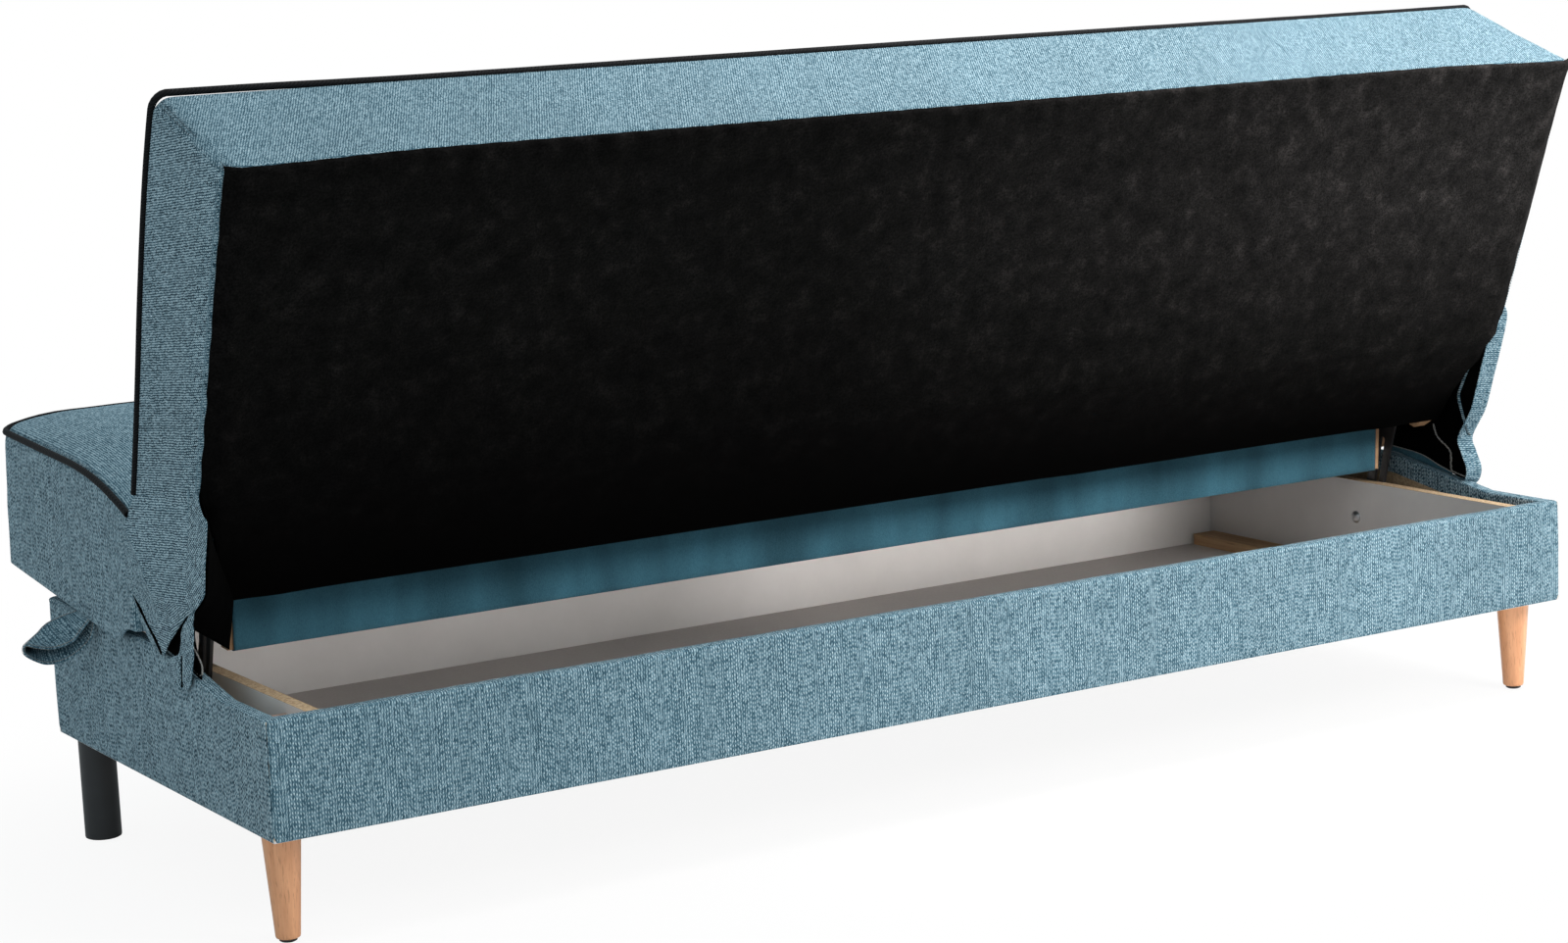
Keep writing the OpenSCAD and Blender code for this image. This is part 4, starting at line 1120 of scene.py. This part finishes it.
def hung_between(piece, side, long=0.0):
    """The piece lies between box and back; its place is baked into its mesh and the frame's gusset on its side is
    hidden. long is a sheet's nominal length. Its width isn't a measured one: it is worked out from the area.
    """
    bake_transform(piece)
    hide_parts("gusset_left" if side > 0 else "gusset_right")
    if long:
        cut_area = sum(p.area for p in piece.data.polygons)
        wide = max(0.0101, round(cut_area / long * 1.1, 4))
        print(piece.name, "cut from", wide, "by", long, "area", round(cut_area, 4), "square metres")


def sewn(name, side, lines, depth, size, long, rests_on, **more):
    """A panel between two lines, hung at once."""
    hung_between(panel(name, side, *lines, depth, size, **more), side, long)


flap_front = mm((24, 470.5), (7.8, 443.6), (-6.4, 429.5), (-10.9, 408.5), (-10, 390.4), (-10, 360), (5.7, 337.2),
                (27.6, 321.2), (46.9, 307.9), (65.5, 292.5))
flap_rear = mm((228.5, 499), (239.5, 476.8), (252, 466.6), (241.4, 432.5), (229.4, 396.5), (225, 384),
               (202, 368.5), (176, 359), (137.2, 341.2), (109.8, 323.9), (87.9, 308.3), (70.5, 292.5))
flap_seam = mm((208.7, 510.5), (197.9, 465.8), (185.2, 420.4), (175.5, 386.1), (167.6, 368.4))
SEAM_LEAN = 0.2892     # how far this seam runs to the rear for each metre that it rises
fold_line = mm((-10.8, 351.2), (5.7, 336.2), (27.6, 321.2), (46.9, 307.9), (64.2, 293.4))
front_hem = mm((-4, 432), (28.3, 403.4), (44.1, 389.7), (63.2, 363), (71.2, 342.7), (64, 322))
far_rear = mm((220, 525), (228.5, 507), (217.8, 466.5), (200.9, 419.5), (183.8, 372.1), (159, 332.5),
              (170, 310.5), (180, 291.2), (177, 274), (162, 260))
far_front = flap_front[:5] + mm((-8, 350), (10, 320), (50, 300), (85, 290), (120, 280))


def near_depth(p, a, b):
    """Distance from the middle: over the board at the foot, over the back's end above, with a seam and a hem."""
    x = 0.9452 + 0.0078 * ease((p.y - 0.335) / 0.045) - top_tuck(p, b)
    x += (0.0011 * ripple(p.x * 15, p.y * 13, 3.0) + 0.0007 * ripple(p.x * 60, p.y * 30, 5.0)) * ease(b / 0.15)
    x -= 0.0011 * exp(-(gap_to(flap_seam, p) / 0.0016) ** 2)
    x += 0.0012 * exp(-(gap_to(front_hem, p) / 0.0030) ** 2)
    return x - 0.0008 * ease((a - 0.93) / 0.07) * ease(b / 0.1)


def far_depth(p, a, b):
    x = 0.9470 + 0.0060 * ease((p.y - 0.300) / 0.045) - top_tuck(p, b)
    return x + 0.0010 * ripple(p.x * 15, p.y * 13, 8.0) * ease(b / 0.15)


def top_tuck(p, b):
    """The top edge is tucked under the cloth of the back."""
    return 0.0040 * (1 - ease(b / 0.09)) * ease((0.237 - p.x) / 0.02)


def near_ribs(a, b, p):
    """The ribs turn where the flap is pieced: in front of its hem, at its foot and behind its seam."""
    for (y1, z1), (y0, z0) in zip(front_hem, front_hem[1:]):
        if z0 <= p.y <= z1 and p.x < y0 + (y1 - y0) * (p.y - z0) / (z1 - z0):
            return RIBS - 0.85
    if p.y < 0.360:
        return RIBS - 0.12 if p.x < 0.10 else RIBS + 0.30
    seam_y, seam_z = flap_seam[-1]
    behind_seam = p.x > seam_y + (p.y - seam_z) * SEAM_LEAN + 0.002
    return RIBS + 0.52 if behind_seam else RIBS


sewn("flap_left", 1, (flap_front, flap_rear), near_depth, (110, 104), 0.36, ["back_cushion", "base_cover"],
     turned=near_ribs)
sewn("flap_right", -1, (far_front, far_rear), far_depth, (84, 90), 0.42, ["back_cushion", "base_cover"], hem=0.024)

# %% The strips below and behind the panels
strip_lines = (mm((179, 362.5), (165.7, 352.2), (145.2, 341.1), (126.4, 326.2), (115.3, 310.4), (105, 297.5),
                  (80, 290), (72, 280), (79, 268), (85, 260)),
               mm((192.5, 370.1), (177.6, 359.9), (171.9, 349.2), (167.5, 334.7), (158.9, 317.4), (149.5, 296),
                  (143.9, 281.1), (138.3, 268), (124, 260)))
strip_seam = mm((121.2, 299), (117.5, 280.3), (114, 262.6))
hem_lines = (mm((-27, 359), (-32.5, 350.7), (-23.1, 331.6), (-3.9, 316), (20.6, 299.3), (51.5, 289)),
             mm((-6, 362), (-5, 351.2), (10.7, 337.2), (32.6, 321.2), (51.9, 307.9), (69, 293)))
far_strip_lines = (mm((186.2, 454.4), (171.6, 436), (154.6, 405.8), (147.2, 387.8), (153.8, 365.4),
                      (159.7, 350.1), (166, 335)),
                   mm((192.2, 454.4), (177.6, 436), (160.6, 405.8), (153.2, 387.8), (159.8, 365.4),
                      (166.7, 350.1), (176, 335)))
tuck_lines = (mm((10, 305), (75, 299), (110, 288.5), (140, 280)),
              mm((10, 296), (75, 285), (110, 278), (146, 270)))
lining_front = mm((30, 440), (8, 400), (-2, 360), (-6, 330), (-6, 314), (-3, 290))
lining_rear = mm((222, 478), (216, 420), (200, 384), (172, 352), (150, 335), (142, 319.8), (146.7, 304),
                 (154.3, 289.3), (148.6, 265))
far_lining_rear = mm((205, 478), (190, 419.5), (172, 372.1), (148, 334.5), (150, 319.8), (160, 304), (166, 289.3),
                     (160, 265))
bay_hem = even_steps(mm((224, 490), (236, 464), (230, 430), (218, 392), (205, 374), (186, 360), (166, 338)), 40)


def strip_depth(p, a, b):
    x = 0.9412 + 0.0040 * ease((p.y - 0.300) / 0.045) + 0.0026 * sin(pi * a)
    x += 0.0010 * ripple(p.x * 40, p.y * 30, 2.0)
    return max(0.9398, x - 0.0040 * exp(-(gap_to(strip_seam, p) / 0.0022) ** 2))


def hem_depth(p, a, b):
    return 0.9412 + 0.0032 * sin(pi * a * 0.8) + 0.003 * ease((p.y - 0.33) / 0.02)


def behind(p, a=0, b=0):
    """The lining lies behind the flap and, lower down, inside the end board."""
    return 0.9330 + 0.0090 * ease((p.y - 0.300) / 0.10) + 0.0010 * ripple(p.x * 25, p.y * 18, 6.0)


def bay_point(a, b):
    """a goes from the near flap's rear hem to the slanted corner of the back, b from its top down."""
    hem = bay_hem[round(b * 40)]
    t = min(1.0, b / 0.70)
    u = TAPER * (1 - t) + LINING_END * t
    corner = on_back(LINING_X + (0.878 - LINING_X) * t, LINING + (LINING_FOOT - LINING) * t - 0.002, u)
    if b > 0.70:
        corner += Vector((0.018, 0.022, -0.052)) * ((b - 0.70) / 0.30)
    spot = on_box(0.9462, hem.x, hem.y).lerp(corner, a)
    spot.y += 0.004 * sin(pi * a) * sin(pi * b) + 0.0012 * ripple(a * 4, b * 5, 2.0)
    return spot


def frayed_edge(name, side, edge, depth):
    """Two pale threads that hang along the lining's cut edge."""
    for turn, reach in enumerate((0.0, 0.0016)):
        places = []
        for k, p in enumerate(even_steps(edge, 90)):
            x = depth(p) + 0.0008 * ripple(k * 0.6, 1.0, turn)
            z = max(p.y, rim_height(p.x) + 0.0070) + 0.0010 * ripple(k * 0.45, 7.0, turn)
            places.append(on_box(side * x, p.x + reach + 0.0014 * ripple(k * 0.35, 4.0, turn), z))
        hung_between(soft_tube(name + str(turn + 1), places, 0.0007, FRAYED), side)


# Painted shade: this black sheet hangs across the near bay and hides the seat rail's end and the arms behind it, so
# the bay is as dark as its shade.
bay = as_piece("bay_shade_sheet_left", laid_grid(16, 40, bay_point, (1, 1)), LINED)
thicken(bay, SHEET)
hung_between(bay, 1, 0.20)
sewn("flap_lining_left", 1, (lining_front, lining_rear), behind, (36, 44), 0.21, ["end_board_left"], finish=LINED)
sewn("flap_strip_left", 1, strip_lines, strip_depth, (40, 60), 0.16, ["base_cover"],
     turned=lambda a, b, p: RIBS + 0.75)
sewn("flap_hem_left", 1, hem_lines, hem_depth, (16, 50), 0.115, ["base_cover"], turned=lambda a, b, p: RIBS - 1.25)
frayed_edge("frayed_edge_left_", 1, lining_rear[4:8] + mm((148.6, 280), (122.7, 278.5)),
            lambda p: 0.9335 + 0.0130 * ease((p.y - 0.292) / 0.05))
sewn("flap_lining_right", -1, (lining_front, far_lining_rear), behind, (36, 44), 0.21, ["end_board_right"],
     finish=LINED)
sewn("flap_strip_right", -1, far_strip_lines, lambda p, a, b: 0.9350 - 0.002 * sin(pi * a), (10, 40),
     0.135, ["end_board_right"])
# Painted shade: the tucked strip takes the darker copy of the weave.
sewn("flap_tuck_right", -1, tuck_lines, lambda p, a, b: 0.9300, (8, 40), 0.14, ["end_board_right"],
     finish=SHADED_WEAVE)
frayed_edge("frayed_edge_right_", -1, mm((97.7, 343.6), (107.7, 327.1), (135, 309.3), (136.9, 283.9),
                                         (150.1, 272), (166, 275)), lambda p: behind(p) - 0.0024)

# %% Dark tubes that paint the shade in the flaps' fold, groove and slits, and a frayed edge
# Painted shade: the black tubes along the fold and along the strip's seam, and the dark thread tubes on the two
# slits, stand in for the shade in these hollows. The tuck's edge is pale frayed thread.
edges = [("fold_shade_tube", 1, fold_line, 0.9456, 0.0023, LINED), ("strip_shade_tube", 1, strip_seam, 0.9430, 0.0016, LINED),
         ("seam_slit_1", 1, mm((213.9, 428.6), (211, 413.5)), 0.9534, 0.0011, SEWN),
         ("seam_slit_2", 1, mm((192.8, 398.4), (190.4, 386.5)), 0.9534, 0.0011, SEWN),
         ("tuck_edge", -1, tuck_lines[0], 0.9296, 0.0007, FRAYED)]
for name, side, line, x, radius, finish in edges:
    path = [on_box(side * x + 0.0004 * ripple(p.x * 90, p.y * 90), *p) for p in even_steps(line, 24)]
    hung_between(soft_tube(name, path, radius, finish), side)
print("flaps, strips and frayed edges hung")

# %% [markdown]
# ## Pull straps
# A pull strap is a band of the same cloth, folded double and sewn along both rims. It starts under the
# seat's end, lies down against the box and curls outwards, so that fingers fit in its loop. Its rear rim
# curls more than its front rim.

# %% Straps
STRAP_REAR, STRAP_FRONT = -0.1625, -0.2125
# Both rims of a strap as (x, z), from under the seat round the loop and back.
rear_rim = mm((912, 313.5), (932, 309.5), (943, 302.5), (951, 294.5), (960, 285), (970, 274.5), (984, 270),
              (999, 269), (1016, 273.5), (1029, 278.5), (1032.5, 273.5), (1030.5, 266.5), (1020, 258),
              (1007, 251.5), (991, 250.5), (976, 254), (962, 262), (950, 272), (944.5, 285), (942, 294),
              (939.5, 299.8), (930, 304.5), (912, 308.5))
front_rim = mm((912, 313.5), (932, 310.5), (943, 304.5), (951, 299.5), (962, 298), (976, 294.5), (988, 290),
               (998, 281), (1008, 273), (1014, 268), (1016, 264), (1011, 265.5), (1003, 272.5), (995, 279),
               (985, 286.8), (974, 291.5), (963, 294.5), (955, 296.5), (950, 298.5), (944.5, 298.5),
               (939.5, 300.5), (930, 305), (912, 308.5))
rear_run, front_run = smooth_path(rear_rim, 5), smooth_path(front_rim, 5)
strap_long = run_along(rear_run)[-1]
last = len(rear_run) - 1


def strap_point(side, a, b):
    """a runs along the band, b across it, from its front rim to its rear rim."""
    i = min(int(a * last + 1e-6), last)
    p = front_run[i].lerp(rear_run[i], b)
    hem = 0.0007 * cos(2 * pi * b) * sin(pi * a)
    return on_box(side * p.x, STRAP_FRONT + (STRAP_REAR - STRAP_FRONT) * b, p.y + hem)


def stitch_row(name, places, body=None, length=0.0026, width=0.0007, material=thread):
    """Short stitches, each a place, a direction and an outward side."""
    bm = bmesh.new()
    for spot, run, out in places:
        cross = out.cross(run).normalized()
        turn = Matrix((run.normalized(), cross, run.cross(cross).normalized())).transposed().to_4x4()
        size = Matrix.Diagonal((length, width, 0.0006, 1))
        bmesh.ops.create_cube(bm, size=1, matrix=Matrix.Translation(spot) @ turn @ size)
    bmesh.ops.recalc_face_normals(bm, faces=bm.faces)
    return as_piece(name, bm, (material, "black_piping"), body, smooth=False)


for side, word in SIDES:
    bm = laid_grid(last, 14, lambda a, b: strap_point(side, a, b), (strap_long, 0.05))
    strap = as_piece("strap_" + word, bm, WOVEN, "seat")
    for loop in strap.data.uv_layers["weave"].data:
        loop.uv = (loop.uv.y, loop.uv.x)
    thicken(strap, 0.0026, 0.0)
    soften(strap)
    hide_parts("pull_strap_" + word)
    marks = []
    for i in range(4, last - 3):
        for b in (0.05, 0.95):
            here = strap_point(side, i / last, b)
            run = strap_point(side, (i + 1) / last, b) - strap_point(side, (i - 1) / last, b)
            wide = strap_point(side, i / last, b + 0.04) - strap_point(side, i / last, b - 0.04)
            normal = run.cross(wide).normalized()
            marks += [(here + normal * 0.00145 * face, run, normal * face) for face in (1, -1)]
    stitch_row("strap_stitches_" + word, marks, "seat", material=frayed)
print("strap length", round(strap_long, 3), "m, width 0.05 m")

# %% [markdown]
# ## Seams at the corners, the ends and the near flap
# At both top corners the border is sewn across, from the piping to the rear edge, with a double row of
# stitches beside a shallow groove. Double rows also run down the ends and along the near flap's seam.

# %% Stitches of the back and the near flap


def way_on_back(x, n, u):
    """A direction on the back's drawing board, as a direction in the room."""
    return on_back(x, n, u) - on_back(0, 0, 0)


for side, word in SIDES:
    marks = []
    for k in range(44):
        share = 0.03 + 0.94 * k / 43
        for turn in (39, 51):
            out = Vector((cos(radians(turn)), sin(radians(turn))))
            x, u = HALF - CORNER + CORNER * out.x, TOP - CORNER + CORNER * out.y
            n = FRAME_REAR - PRESSED + (face_of_back(x, u) + GROOVE - FRAME_REAR + PRESSED) * share
            sink = -DRAWN * sin(pi * share) * 0.75
            spot = on_back(side * (x + out.x * sink), n, u + out.y * sink)
            marks.append((spot, way_on_back(0, 1, 0), way_on_back(side * out.x, 0, out.y)))
    stitch_row("corner_stitches_" + word, marks, "back", 0.0030)
    marks = [(on_back(side * (HALF + 0.0004), HEM + shift, 0.100 + 0.432 * k / 111), way_on_back(0, 0, 1),
              Vector((side, 0, 0))) for k in range(112) for shift in (-0.0016, 0.0016)]
    stitch_row("end_stitches_" + word, marks, "back", material=cloth)
marks = []
line = even_steps(flap_seam, 36)
for one, two in zip(line[3:], line[4:]):
    way = (two - one).normalized()
    for shift in (-0.0017, 0.0017):
        p = one + Vector((-way.y, way.x)) * shift
        spot = on_box(near_depth(p, 0.7, 0.5) + 0.0002, p.x, p.y)
        marks.append((spot, Vector((0, way.x, way.y)), Vector((1, 0, 0))))
hung_between(stitch_row("flap_stitches", marks, width=0.0008, material=cloth), 1)
print("corner, end and flap stitches sewn")

# %% [markdown]
# ## Floor, world and lamps
# The sofa bed stands on a plain pale floor in soft studio light. One large lamp stands high behind the
# far end, so the far top edge is brightest and the near end is in soft shade, as in the photograph. Two
# faint strip lamps inside the box light the chest as the open room would.

# %% Floor
bm = bmesh.new()
bmesh.ops.create_grid(bm, x_segments=1, y_segments=1, size=12)
floor_mesh = bpy.data.meshes.new("floor")
bm.to_mesh(floor_mesh)
bm.free()
floor = in_scene("floor", floor_mesh)
pale_floor, n = new_material("pale_floor", 0.9, (0.80, 0.80, 0.80), Specular_IOR_Level=0.1)
glow = n.add("Emission", {"Color": (1, 1, 1, 1), "Strength": 1.0}).outputs[0]
reach = n.add("VectorMath", {0: n.stretched(n.place(), (0.62, 1.0, 0.0))}, operation="LENGTH").outputs["Value"]
fade = n.map_range(reach, 0.45, 1.10, 0.90, 1.0, interpolation_type="SMOOTHSTEP")
seen = n.times(n.add("LightPath").outputs["Is Camera Ray"], fade)
mixed = n.add("MixShader", {0: seen, 1: n.shader.outputs[0], 2: glow}).outputs[0]
n.feed(n.tree.nodes["Material Output"].inputs["Surface"], mixed)
floor_mesh.materials.append(pale_floor)

# %% World and lamps
world = bpy.data.worlds.new("studio")
bpy.context.scene.world = world
world.use_nodes = True
sky = Nodes(world.node_tree)
backdrop = sky.tree.nodes["Background"]
seen = sky.add("LightPath").outputs["Is Camera Ray"]
sky.feed(backdrop.inputs["Color"], sky.mix(seen, (0.90, 1.0, 1.04, 1.0), (1.0, 1.0, 1.0, 1.0)))
sky.feed(backdrop.inputs["Strength"], sky.map_range(seen, 0.0, 1.0, 0.68, 1.0))


def area_lamp(name, place, aim, size, power, spread, high=None):
    lamp = in_scene(name, bpy.data.lights.new(name, "AREA"))
    lamp.data.shape = "RECTANGLE"
    lamp.data.size, lamp.data.size_y = size, high or size
    lamp.data.spread = radians(spread)
    lamp.data.color = (1.05, 1.0, 0.97)
    lamp.data.energy = power
    lamp.location = place
    lamp.rotation_mode = "QUATERNION"
    lamp.rotation_quaternion = (Vector(aim) - Vector(place)).to_track_quat("-Z", "Y")
    lamp.visible_camera = False


area_lamp("far_key", (-2.3, 1.9, 2.3), (-0.4, 0.1, 0.4), 1.3, 24.0, 180)
area_lamp("rear_key", (-1.6, 2.8, 2.0), (-0.6, 0.2, 0.4), 1.0, 9.0, 60)
area_lamp("overhead", (-1.0, 0.7, 2.8), (-0.4, 0.1, 0.6), 1.2, 18.0, 90)
for name, x, size, power in (("chest_near", 0.42, 0.80, 0.096), ("chest_far", -0.38, 0.74, 0.21)):
    area_lamp(name, (x, box_y + 0.315, 0.248), (x, -0.30, 0.200), size, power, 28, 0.03)
bpy.context.scene.view_settings.view_transform = "Standard"
print("floor, world and lamps ready")
